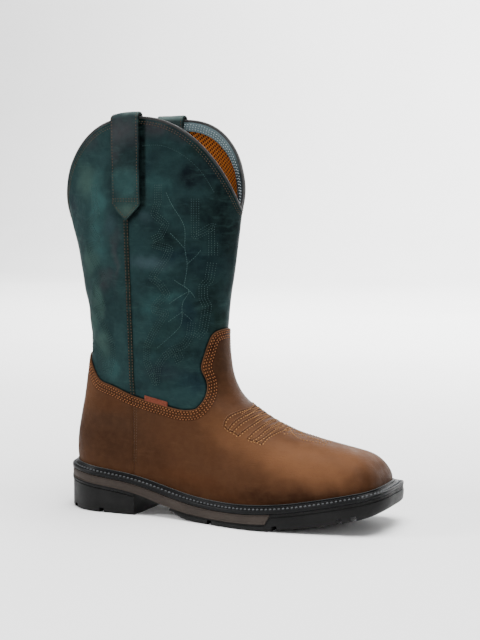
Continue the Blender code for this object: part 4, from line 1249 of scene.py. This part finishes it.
def stitch_side_seams():
    runs = make_side_seam("seam_strip_outer", "side_seam_outer", -1)
    runs += make_side_seam("seam_strip_inner", "side_seam_inner", 1)
    lay_stitches("seam_stitches", runs)
    down = []
    for side in (-1, 1):
        for x in (SEAM_X + 0.0021, SEAM_X + 0.0040):
            line = [(x, edge_height(x) - 0.009), (x - 0.001, 0.075), (x - 0.002, 0.047)]
            down += raise_runs([side_run(line, side)], GAP + OVERLAY - 0.00015)
    lay_stitches("counter_seam_stitches", down)


# Stitched ornament on the shaft: a branching vine inside rows of flame outlines. Points of the
# lines are places in the photograph, across and down.

VINE = [
    (166, 192), (172, 205), (179, 216), (184, 226), (185, 238), (185, 250), (187, 262), (186, 275),
    (184, 286),
]
VINE_LOW = [(184, 286), (189, 291), (184, 300), (182, 312), (181, 324), (172, 335), (157, 348)]
BRANCHES = [
    [(170, 233), (177, 240), (184, 248)],
    [(201, 250), (195, 257), (187, 264)],
    [(174, 280), (180, 284), (190, 291), (195, 298)],
    [(169, 304), (179, 297), (190, 291)],
    [(168, 322), (175, 317), (182, 312)],
    [(192, 321), (187, 316), (182, 312)],
]
COLLAR_ARC = [(142, 146), (156, 145), (172, 149), (188, 159), (202, 173), (216, 196)]
FLAME_PITCH = 0.0019
FLAMES = [
    # right-hand outline, then the left-hand ones, then the scroll at the foot
    [(195, 198), (195, 236), (205, 231), (213, 226), (213, 256)],
    [(212, 262), (209, 280), (203, 286), (203, 298), (207, 306), (203, 330), (196, 338)],
    [(158, 184), (158, 202), (154, 214), (166, 224), (160, 236), (152, 240)],
    [(152, 244), (170, 249), (166, 258), (156, 272), (152, 278), (160, 284)],
    [(160, 284), (167, 294), (156, 304), (154, 310), (166, 313), (160, 322), (153, 333)],
    [(153, 333), (147, 346), (147, 362), (156, 384), (158, 366), (164, 357), (172, 350)],
    [(172, 350), (184, 345), (190, 336), (192, 322)],
    [(163, 357), (170, 354), (177, 352), (180, 358), (174, 361)],
]


def side_view(pixels, round_off=True):
    """A smooth or a cornered line through places in the photograph, as x and z on the boot."""
    line = path(pixels, 60) if round_off else resample([(*pixel, 0) for pixel in pixels], 90)[:, :2]
    hits = [at_pixel(*pixel) for pixel in line]
    return np.array([(hit[0], hit[2]) for hit in hits if hit is not None])


def beside(line, distance):
    """A line in side view moved sideways."""
    along = unit(np.gradient(line, axis=0))
    return line + np.column_stack([-along[:, 1], along[:, 0]]) * distance


def back_panel(line):
    """The same line on the back half of the shaft, mirrored about the side seam."""
    moved = line.copy()
    moved[:, 0] = 2 * SEAM_X - moved[:, 0] - 0.004
    return moved


def on_shaft(run):
    """Parts of a run that lie on the shaft, clear of seams, straps and edges."""
    parts, start = [], None
    for i, (x, _, z) in enumerate([] if run is None else [*run[:, :3], (0, 0, 0)]):
        clear = z > edge_height(min(x, 0.13)) + 0.008 and abs(x - SEAM_X) > 0.006
        clear = clear and 0.022 < x < 0.150
        if clear and start is None:
            start = i
        if not clear and start is not None:
            if i - start > 3:
                parts.append(run[start:i])
            start = None
    return parts


def stitch_ornament():
    vines, flames, arcs = [], [], []
    for back in (False, True):
        for side in (-1, 1):
            if not back:
                for pixels in [VINE, VINE_LOW] + BRANCHES:
                    vines += on_shaft(side_run(side_view(pixels), side))
                arcs += on_shaft(side_run(side_view(COLLAR_ARC), side))
            for pixels in FLAMES:
                for k in range(4):
                    line = beside(side_view(pixels, False), (k - 1.5) * FLAME_PITCH)
                    flames += on_shaft(side_run(back_panel(line) if back else line, side))
    lay_stitches("vine_stitches", vines)
    lay_stitches("flame_stitches", flames)
    lay_stitches("arc_stitches", arcs)


# Stitched arcs over the instep, and a leaf towards the toe, placed the same way

INSTEP_ARCS = [
    [(225, 427), (227, 420), (235, 415), (247, 411), (259, 408)],
    [(229, 431), (233, 425), (243, 418), (254, 413), (264, 411)],
    [(233, 433), (240, 426), (250, 420), (260, 416), (269, 414)],
    [(239, 437), (246, 431), (255, 425), (264, 419), (273, 416)],
    [(248, 440), (254, 434), (262, 428), (271, 423), (280, 420)],
    [(252, 442), (260, 437), (267, 431), (275, 427), (284, 423)],
    [(257, 443), (264, 439), (272, 433), (280, 429), (288, 426)],
    [(262, 446), (267, 440), (276, 435), (286, 431), (291, 430)],
    [(225, 427), (229, 431), (233, 433), (239, 437)],
    [(248, 440), (252, 442), (257, 443), (262, 446)],
]
TOE_LEAF = [
    [(289, 430), (294, 437), (304, 442), (316, 444), (327, 447)],
    [(291, 428), (299, 434), (308, 439), (318, 442), (328, 446)],
]


def shifted(run, distance):
    """A run moved sideways along its surface."""
    out = run.copy()
    out[:, :3] += unit(np.cross(run[:, 3:6], np.gradient(run[:, :3], axis=0))) * distance
    return out


def stitch_instep():
    """Rows over the instep, with a dark row of painted shade and a raised ridge in a pale tan, a
    painted highlight, beside each of the arcs.
    """
    runs, shade_rows, ridges = [], [], []
    for pixels in INSTEP_ARCS + TOE_LEAF:
        hits = [at_pixel(*pixel) for pixel in path(pixels, 40)]
        hits = [hit for hit in hits if hit is not None]
        for flip in (False, True):
            sides = [2 * float(last_shift(hit[0])) - hit[1] if flip else hit[1] for hit in hits]
            rows = [from_above(hit[0], y) for hit, y in zip(hits, sides)]
            rows = [row for row in rows if row is not None]
            if len(rows) > 2:
                run = smooth_run(np.array(rows))
                runs += raise_runs([shifted(run, -0.0007)], GAP + OVERLAY)
                if pixels in INSTEP_ARCS:
                    shade_rows += raise_runs([shifted(run, 0.0006)], GAP + OVERLAY - 0.0002)
                    ridges += raise_runs([shifted(run, 0.0017)], GAP + OVERLAY - 0.0002)
    lay_stitches("instep_stitches", runs)
    lay_stitches("instep_ridges", ridges)
    lay_stitches("instep_painted_shade", shade_rows)


# Pull straps

def collar_height(x, side):
    """Height of the collar's rim at x on one side."""
    half = TOP_ROW[: AROUND + 1] if side < 0 else np.vstack([TOP_ROW[AROUND:], TOP_ROW[:1]])[::-1]
    return float(np.interp(x, half[:, 0], half[:, 2]))


def strap_column(x, side, tip):
    """The strap's middle sheet at one x, from its outer end over the rim to inside."""
    rim = collar_height(x, side)
    bend = rim - 0.004
    legs = STRAP_THICKNESS / 2
    stand = 0.0016
    points, outward = [], []
    for share in np.linspace(0, 1, STRAP_ROWS):
        row = on_side(x, tip + (bend - tip) * share, side)
        points.append(row[:3] + row[3:] * (GAP + legs + stand * share**1.5))
        outward.append(row[3:])
    row = on_side(x, bend, side)
    level = unit(np.array([row[3], row[4], 0.0]))
    out_reach = GAP + legs + stand
    in_reach = WALL + GAP + legs + 0.0012
    middle, radius = (out_reach - in_reach) / 2, (out_reach + in_reach) / 2
    crest = rim if side < 0 else max(rim, collar_height(STRAP_X, side))
    base = np.array([row[0], row[1], crest + STRAP_RISE - legs - radius])
    for angle in np.linspace(0, math.pi, 17):
        turn = level * math.cos(angle) + np.array([0, 0, math.sin(angle)])
        points.append(base + level * middle + turn * radius)
        outward.append(turn)
    for share in np.linspace(0.1, 1, 16):
        row = on_side(x, bend - (STRAP_INSIDE - 0.004) * share, side)
        points.append(row[:3] - row[3:] * in_reach)
        outward.append(-row[3:])
    return np.array(points), np.array(outward)


def make_strap(name, node, side):
    """A doubled leather strap with a pointed end, sewn along its edges."""
    shares = np.array([1, 0.97, 0.9, 0.8, 0.6, 0.4, 0.2, 0])
    across = np.concatenate([-shares, shares[-2::-1]])
    half = STRAP_WIDTH / 2
    legs = STRAP_THICKNESS / 2
    columns = [
        strap_column(STRAP_X + u * half, side, STRAP_TIP_HEIGHT + STRAP_SHOULDER * abs(u))
        for u in across
    ]
    mid = np.array([column[0] for column in columns])
    out = unit(np.array([column[1] for column in columns]))
    inset = (1 - np.abs(across)) * half
    thick = legs * (0.45 + 0.55 * round_over(inset, 0.0009))
    thick = thick - 0.00018 * bell(inset - 0.0020, 0.0005) + 0.00012 * (inset > 0.004)
    front = mid + out * thick[:, None, None]
    back = mid - out * legs * 0.8
    count, rows = front.shape[:2]
    size = count * rows
    points = np.vstack([front.reshape(-1, 3), back.reshape(-1, 3)])
    faces = grid_faces(count, rows, False)
    faces += [tuple(i + size for i in reversed(face)) for face in faces]
    border = list(range(rows)) + [c * rows + rows - 1 for c in range(1, count)]
    border += [(count - 1) * rows + r for r in range(rows - 2, -1, -1)]
    border += [c * rows for c in range(count - 2, 0, -1)]
    faces += [(i, j, j + size, i + size) for i, j in zip(border, border[1:] + border[:1])]
    facing = np.tile((0, side, 0), (len(points), 1))
    tone = paint(points, facing, (0.0100, 0.0200, 0.0205), STRAP_PATCHES)
    # The back sheet is painted near black, so the side walls darken towards it: painted shade under
    # and beside the strap
    tone[size:, :3] = (0.0015, 0.0020, 0.0020)
    # Darker towards both edges
    edge = np.repeat(bell(inset, 0.0006), rows)
    tone[:size, :3] += 0.6 * edge[:, None] * (np.array([0.010, 0.009, 0.007]) - tone[:size, :3])
    # The front edge painted near black: painted shade
    tone[size - rows : size, :3] = (0.0010, 0.0012, 0.0012)
    piece = make_object(name, points, faces, M_SHAFT, True, 60, {"tone": tone})
    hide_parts(node)
    return strap_runs(np.concatenate([front, out], axis=2), inset)


STRAP_PATCHES = [
    # columns as in the shaft's patches
    # A painted highlight along the crest where the strap bends over the rim
    (0, 0.074, 0.3545, 0.022, 0.0046, 0, (0.095, 0.125, 0.120), 0.85),
    (0, 0.076, 0.2665, 0.013, 0.0060, 0, (0.050, 0.066, 0.056), 0.55),
    (0, 0.072, 0.336, 0.020, 0.012, 0, MAUVE, 0.70),
    (0, 0.082, 0.314, 0.010, 0.012, 0, NAVY, 0.35),
    (0, 0.066, 0.316, 0.008, 0.010, 0, MAUVE, 0.50),
    (0, 0.074, 0.292, 0.016, 0.010, 0, AQUA, 0.45),
    (0, 0.076, 0.270, 0.012, 0.008, 0, SAGE, 0.40),
]


def strap_runs(columns, inset):
    """Stitch lines on a strap: both sides, two rows across, and the point."""
    last, middle = len(inset) - 1, len(inset) // 2
    runs = []
    for picks in (range(middle + 1), range(last, middle - 1, -1)):
        flat = columns[list(picks)].reshape(len(picks), -1)
        line = [np.interp(0.0020, inset[list(picks)], column) for column in flat.T]
        runs.append(np.reshape(line, (-1, 6))[2:48])

    def across(picks, heights):
        rows = [
            [np.interp(z, columns[c, :STRAP_ROWS, 2], columns[c, :STRAP_ROWS, k]) for k in range(6)]
            for c, z in zip(picks, heights)
        ]
        runs.append(np.array(rows))

    for lift in (0.0030, 0.0050):
        across(range(1, last), [STRAP_TIP_HEIGHT + STRAP_SHOULDER + lift] * (last - 1))
    for picks in (range(1, middle + 1), range(middle, last)):
        across(picks, columns[list(picks), 0, 2] + 0.0026)
    return runs


def make_straps():
    runs = make_strap("strap_outer", "pull_strap_outer", -1)
    runs += make_strap("strap_inner", "pull_strap_inner", 1)
    lay_stitches("strap_stitches", runs)


def make_tag():
    """The bare orange tag folded into the vamp's edge."""
    xs = np.linspace(TAG_START, TAG_START + TAG_LENGTH, 26)
    section = [
        # share of the height, and distance off the surface
        (-0.4, 0.0013), (0.0, 0.0013), (0.3, 0.0013), (0.55, 0.0013), (0.8, 0.0012),
        (0.95, 0.0010), (1.0, 0.0006), (0.95, 0.0003), (0.7, 0.0002), (0.0, 0.0002),
    ]
    points = []
    for x in xs:
        for share, off in section:
            row = on_side(x, edge_height(x) + GAP + TAG_HEIGHT * share, -1)
            points.append(row[:3] + row[3:] * off)
    faces = grid_faces(len(xs), len(section), False)
    piece = make_object("edge_tag_cloth", np.array(points), faces, M_TAG, False, 60)
    wall = piece.modifiers.new("thickness", "SOLIDIFY")
    wall.thickness = 0.00035
    wall.offset = 0
    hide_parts("edge_tag")


# Sole

def last_line(height, count=150):
    """Plan of the last at a height above the feather, outer side and then inner side."""
    shares = ring_shares(count)
    rings = [ring(level, shares) for level in np.linspace(0, 0.2, 30)]
    x, z, width, shift = (np.array(part) for part in zip(*rings))
    above = z - feather_height(x)
    x, shift, width = (
        np.array([np.interp(height, above[:, i], part[:, i]) for i in range(count + 1)])
        for part in (x, shift, width)
    )
    outer = np.column_stack([x, shift - width])
    return np.vstack([outer, np.column_stack([x, shift + width])[-2:0:-1]])


FEATHER = last_line(0)


def outline_out(distance, line=FEATHER):
    """A plan moved outwards."""
    along = np.roll(line, -1, axis=0) - np.roll(line, 1, axis=0)
    out = unit(np.column_stack([along[:, 1], -along[:, 0]]))
    if ((line - line.mean(axis=0)) * out).sum() < 0:
        out = -out
    return line + out * np.broadcast_to(distance, len(line))[:, None]


def welt_show(x):
    share = np.clip((x - HEEL_SETBACK) / LAST_LENGTH, 0, 1)
    return WELT_SHOW_HEEL + (WELT_SHOW_TOE - WELT_SHOW_HEEL) * share**2


LEATHER_FACE = OVERLAY + GAP
SHOW = welt_show(FEATHER[:, 0])
SOLE_REACH = LEATHER_FACE + GAP + SHOW


def sole_outline(inset):
    """Plan of the sole's edge, moved in."""
    return outline_out(SOLE_REACH - inset)


def edge_halves(outline):
    """The outer and the inner side of a plan, both from the heel to the toe."""
    front = int(np.argmax(outline[:, 0]))
    return outline[: front + 1], np.vstack([outline[front:], outline[:1]])[::-1]


def places_along(outline, start, end, stations):
    """Places in x for stations from 0 to 1, kept inside the plan."""
    low = max(start, outline[:, 0].min() + 0.0001)
    high = min(end, outline[:, 0].max() - 0.0001)
    return low + (high - low) * stations


def layer_ring(outline, xs, level):
    """A ring of a sole layer: along the outer side at the places and back along the inner."""
    rows = []
    for half in edge_halves(outline):
        order = np.maximum.accumulate(half[:, 0])
        rows.append(np.column_stack([xs, np.interp(xs, order, half[:, 1]), level]))
    return np.vstack([rows[0], rows[1][::-1]])


def stations_for(count, round_start, round_end):
    """Stations from 0 to 1, closer together at the round ends."""
    even = np.linspace(0, 1, count)
    if round_start and round_end:
        return (1 - np.cos(np.pi * even)) / 2
    if round_start:
        return 1 - np.cos(np.pi / 2 * even)
    if round_end:
        return np.sin(np.pi / 2 * even)
    return even


def stack_faces(rings):
    """Side faces of a stack of rings, and its two ends."""
    count = len(rings[0])
    faces = grid_faces(len(rings), count)
    top = (len(rings) - 1) * count
    for i in range(count // 2 - 1):
        across = count - 1 - i
        faces.append((i, i + 1, across - 1, across))
        faces.append((top + i, top + across, top + across - 1, top + i + 1))
    return faces


def sole_piece(name, node, rings, material):
    piece = make_object(name, np.vstack(rings), stack_faces(rings), material, True, SOLE_SHARP)
    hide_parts(node)
    return piece


def make_midsole():
    levels = [
        # inset, share of the thickness
        (0.0014, 0.00), (0.0004, 0.02), (0.0002, 0.07), (0.0006, 0.12), (0.0008, 0.16),
        (0.0006, 0.30), (0.0005, 0.55), (0.0006, 0.80), (0.0008, 0.86), (0.0003, 0.90),
        (0.0003, 0.96), (0.0012, 1.00),
    ]
    rings = []
    for inset, share in levels:
        outline = sole_outline(inset)
        end = STRIPE_END - STRIPE_SLANT * (1 - share)
        xs = places_along(outline, 0, end, stations_for(150, True, False))
        low = midsole_under(xs)
        rings.append(layer_ring(outline, xs, low + share * (midsole_top(xs) - low)))
    sole_piece("midsole_stripe", "midsole", rings, M_MIDSOLE)


def make_outsole():
    riser = STRIPE_END - STRIPE_SLANT + GAP
    rear = np.linspace(SHANK_START, riser, 70)
    levels = [
        # inset, share of the thickness
        (0.0034, 0.00), (0.0022, 0.02), (0.0010, 0.07), (0.0005, 0.14), (0.0000, 0.40),
        (-0.0001, 0.66), (0.0001, 0.78), (0.0008, 0.80), (0.0008, 0.83), (0.0004, 0.86),
        (0.0005, 1.00),
    ]
    rings = []
    for inset, share in levels:
        outline = sole_outline(inset)
        front = places_along(outline, riser + STRIPE_SLANT + GAP, 1, stations_for(90, False, True))
        xs = np.concatenate([rear, front])
        low = tread_line(xs)
        high = np.concatenate([midsole_under(rear) - GAP, midsole_top(front)])
        rings.append(layer_ring(outline, xs, low + share * (high - low)))
    piece = sole_piece("outsole_front", "outsole", rings, M_SOLE)
    bars = [bar for share in THROUGH_BARS for bar in ribbed_bars(share)]
    for places, share_wide, size in ((INNER_BARS, 0.72, LUG_SIZE), (FINE_BARS, 0.60, FINE_SIZE)):
        bars += [(x * SOLE_LENGTH, -0.002, BALL_WIDTH * share_wide, *size) for x in places]
    cut_grooves(piece, bars)


# Places of the tread's grooves as shares of the sole's length
THROUGH_BARS = [0.503, 0.706, 0.883, 0.924]
INNER_BARS = [0.573, 0.640, 0.765, 0.828]
FINE_BARS = [
    0.430, 0.455, 0.480, 0.527, 0.551, 0.597, 0.618, 0.664, 0.686, 0.727, 0.746, 0.787, 0.806,
    0.850,
]
HEEL_BARS = [0.145, 0.043]
HEEL_FINE_BARS = [0.0225, 0.0285, 0.0345, 0.0515, 0.0575, 0.0635]
# Width and depth of the grooves
LUG_SIZE = (LUG_GROOVE, LUG_DEPTH)
FINE_SIZE = (0.0016, 0.0012)


def ribbed_bars(share):
    """A groove across the tread in two bars, with a rib left between them."""
    y = (LUG_RIB + BALL_WIDTH) / 2
    return [(share * SOLE_LENGTH, side * y, BALL_WIDTH, *LUG_SIZE) for side in (-1, 1)]


def cut_grooves(piece, bars):
    """Cuts bars across the tread, each turned to the slope of the tread line."""
    work = bmesh.new()
    for x, y, wide, thick, deep in bars:
        forefoot = x > SHANK_START
        low = float(tread_line(x)) if forefoot else 0.0
        slope = float(tread_line(x + 0.002) - tread_line(x - 0.002)) / 0.004 if forefoot else 0.0
        ends = []
        for side in (-1, 1):
            ends.append([])
            for u, v in ((-0.5, -1), (0.5, -1), (0.38, 1), (-0.38, 1)):
                away, up = u * thick, v * deep
                corner = Vector((x + away, y + side * wide / 2, low + up + away * slope))
                ends[-1].append(work.verts.new(corner + Vector(SHIFT)))
        a, b = ends
        work.faces.new(a[::-1])
        work.faces.new(b)
        for k in range(4):
            work.faces.new((a[k], a[(k + 1) % 4], b[(k + 1) % 4], b[k]))
    bmesh.ops.recalc_face_normals(work, faces=work.faces)
    mesh = bpy.data.meshes.new("grooves")
    work.to_mesh(mesh)
    work.free()
    cut = piece.modifiers.new("grooves", "BOOLEAN")
    cut.operation = "DIFFERENCE"
    cut.solver = "EXACT"
    cut.object = add_to_scene("grooves", mesh)
    graph = bpy.context.evaluated_depsgraph_get()
    done = bpy.data.meshes.new_from_object(piece.evaluated_get(graph))
    cutter = cut.object
    piece.modifiers.remove(cut)
    piece.data = done
    piece.data.set_sharp_from_angle(angle=math.radians(SOLE_SHARP))
    bpy.data.objects.remove(cutter)


def make_heel():
    levels = [
        # inset, share of the height, and lift from there
        (0.0026, 0, 0), (0.0014, 0, 0.0005), (0.0008, 0, 0.0018), (0.0007, 0.5, 0),
        (0.0007, 1, -0.0032), (0.0013, 1, -0.0028), (0.0013, 1, -0.0022), (0.0002, 1, -0.0018),
        (0.0001, 1, -0.0006), (0.0006, 1, 0),
    ]
    rings = []
    for inset, share, lift in levels:
        outline = sole_outline(inset)
        xs = places_along(outline, 0, HEEL_BREAST, stations_for(110, True, False))
        rings.append(layer_ring(outline, xs, share * (midsole_under(xs) - GAP) + lift))
    piece = sole_piece("heel_block", "heel", rings, M_SOLE)
    bars = [bar for share in HEEL_BARS for bar in ribbed_bars(share)]
    cut_grooves(piece, bars + [(x, 0, 0.052, *FINE_SIZE) for x in HEEL_FINE_BARS])


def make_welt():
    """Welt with a stitch groove and a bead, and thick lock stitches in the groove."""
    top, fall = WELT_THICKNESS, WELT_FALL
    # The rubber's own tone, with painted shade in the stitch groove, at the bead's foot and where
    # the bead meets the leather, and a painted highlight along the bead's crest
    painted_shade, plain, crest = (0.0012, 0.0012, 0.0013), (0.0050, 0.0052, 0.0055), (0.105, 0.113, 0.110)
    section = [
        # share of the width that shows, measured in from the edge, height and tone
        (0.10, 0.0000, plain),
        (0.02, 0.0003, plain),
        (0.00, 0.0009, plain),
        (0.00, top - fall - 0.0004, plain),
        (0.02, top - fall, plain),
        (0.06, top - fall + 0.0005, plain),
        (0.14, top - fall + 0.0008, plain),
        (0.20, top - fall + 0.0006, plain),
        (0.24, top - fall + 0.0001, painted_shade),
        (0.36, top - 0.60 * fall, painted_shade),
        (0.50, top - 0.10 * fall, painted_shade),
        (0.56, top + 0.30 * fall, painted_shade),
        (0.62, top + 0.70 * fall, plain),
        (0.68, top + 0.75 * fall, plain),
    ]
    bead = [
        # distance from the leather, height over the welt and tone
        (BEAD_WIDTH + 0.0002, 0.0008, painted_shade),
        (BEAD_WIDTH, BEAD_HEIGHT - 0.0008, plain),
        (BEAD_WIDTH - 0.0004, BEAD_HEIGHT - 0.0002, plain),
        (BEAD_WIDTH - 0.0009, BEAD_HEIGHT, crest),
        (GAP + 0.0003, BEAD_HEIGHT - 0.0001, crest),
        (GAP * 0.5, BEAD_HEIGHT - 0.0006, plain),
        (GAP * 0.5, GAP, painted_shade),
    ]
    rings, tones = [], []

    def add_ring(plan, height, shade):
        rings.append(np.column_stack([plan, midsole_top(plan[:, 0]) + GAP + height]))
        tones.append(np.tile((*shade, 1.0), (len(plan), 1)))

    for share, height, shade in section:
        add_ring(outline_out(SOLE_REACH - share * SHOW), height, shade)
    for distance, height, shade in bead:
        plan = outline_out(LEATHER_FACE + distance, last_line(max(height - GAP, 0)))
        add_ring(plan, top + height, shade)
    for height in (top, 0.0):
        add_ring(outline_out(-WELT_UNDER), height, plain)
    faces = grid_faces(len(rings), len(FEATHER), True, True)
    attributes = {"tone": np.vstack(tones)}
    piece = make_object("welt_strip", np.vstack(rings), faces, M_WELT, True, 35, attributes)
    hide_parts("welt")
    plan = outline_out(SOLE_REACH - 0.40 * SHOW)
    heights = midsole_top(plan[:, 0]) + GAP + top - 0.42 * fall
    outward = 0.62 * unit(outline_out(SOLE_REACH) - plan)
    run = np.column_stack([plan, heights, outward, np.full(len(plan), 0.78)])
    stitches = lay_stitches("welt_stitches", [np.vstack([run, run[:1]])])


def make_insole():
    inset = WELT_UNDER + 3 * GAP
    rings = []
    for more, share in ((0, 0.0), (0, 0.70), (0.0006, 0.88), (0.0018, 1.0)):
        outline = outline_out(-(inset + more))
        xs = places_along(outline, 0, 1, stations_for(120, True, True))
        rings.append(layer_ring(outline, xs, midsole_top(xs) + GAP + share * INSOLE_THICKNESS))
    sole_piece("footbed", "insole", rings, M_INSOLE)


# Studio

def make_studio():
    """A pale floor that bends up into a backdrop."""
    s = Surface("studio_floor")
    shade = s.mix(s.mottle(0.3, 0.7, 2, 2, 0.5), (0.86, 0.86, 0.86), (0.89, 0.89, 0.89))
    size, back, bend, high = 6.0, 3.0, 1.2, 5.0
    profile = [(-size, 0.0), (back, 0.0)]
    for angle in np.linspace(0, math.pi / 2, 16):
        profile.append((back + bend * math.sin(angle), bend * (1 - math.cos(angle))))
    profile.append((back + bend, high))
    points = [(x, y, z) for y, z in profile for x in (-size, size)]
    mesh = bpy.data.meshes.new("studio_floor")
    faces = [(2 * i, 2 * i + 1, 2 * i + 3, 2 * i + 2) for i in range(len(profile) - 1)]
    mesh.from_pydata(points, [], faces)
    mesh.materials.append(s.finish(shade, 0.85, None, 0.2))
    mesh.shade_smooth()
    floor = add_to_scene("studio_floor", mesh)


def add_light(name, place, target, size, power):
    light = bpy.data.lights.new(name, "AREA")
    light.shape = "RECTANGLE"
    light.size, light.size_y = size
    light.energy = power
    obj = add_to_scene(name, light)
    obj.location = place
    obj.rotation_euler = (Vector(target) - Vector(place)).to_track_quat("-Z", "Y").to_euler()


def make_lights():
    world = bpy.data.worlds.new("studio")
    world.use_nodes = True
    background = world.node_tree.nodes["Background"]
    background.inputs["Color"].default_value = (1.0, 1.0, 1.0, 1)
    background.inputs["Strength"].default_value = 0.35
    bpy.context.scene.world = world
    middle = (0.0, 0.0, 0.15)
    add_light("top", (0.35, -0.20, 2.0), middle, (1.5, 1.5), 110)
    add_light("left", (-1.5, -0.9, 0.9), middle, (0.6, 0.9), 30)
    add_light("front", (0.9, -1.9, 0.9), middle, (1.0, 0.8), 8)
    add_light("back", (-0.2, 1.5, 1.1), middle, (1.2, 1.0), 4)
    add_light("backdrop", (0.0, 1.4, 2.2), (0.0, 4.2, 0.6), (2.5, 1.0), 420)


def make_camera():
    camera = bpy.data.cameras.new("camera")
    camera.sensor_width = 36
    camera.lens = FOCAL / IMAGE[1] * camera.sensor_width
    camera.clip_end = 100
    obj = add_to_scene("camera", camera)
    obj.location = EYE + SHIFT
    obj.rotation_euler = Vector(FORWARD).to_track_quat("-Z", "Y").to_euler()
    bpy.context.scene.camera = obj


make_camera()
make_studio()
make_lights()
make_shaft()
make_lining()
make_binding()
make_overlay("vamp_leather", "vamp", 1)
make_overlay("counter_leather", "counter", -1)
stitch_edges()
stitch_collar()
stitch_side_seams()
stitch_ornament()
stitch_instep()
make_straps()
make_tag()
make_midsole()
make_outsole()
make_heel()
make_welt()
make_insole()
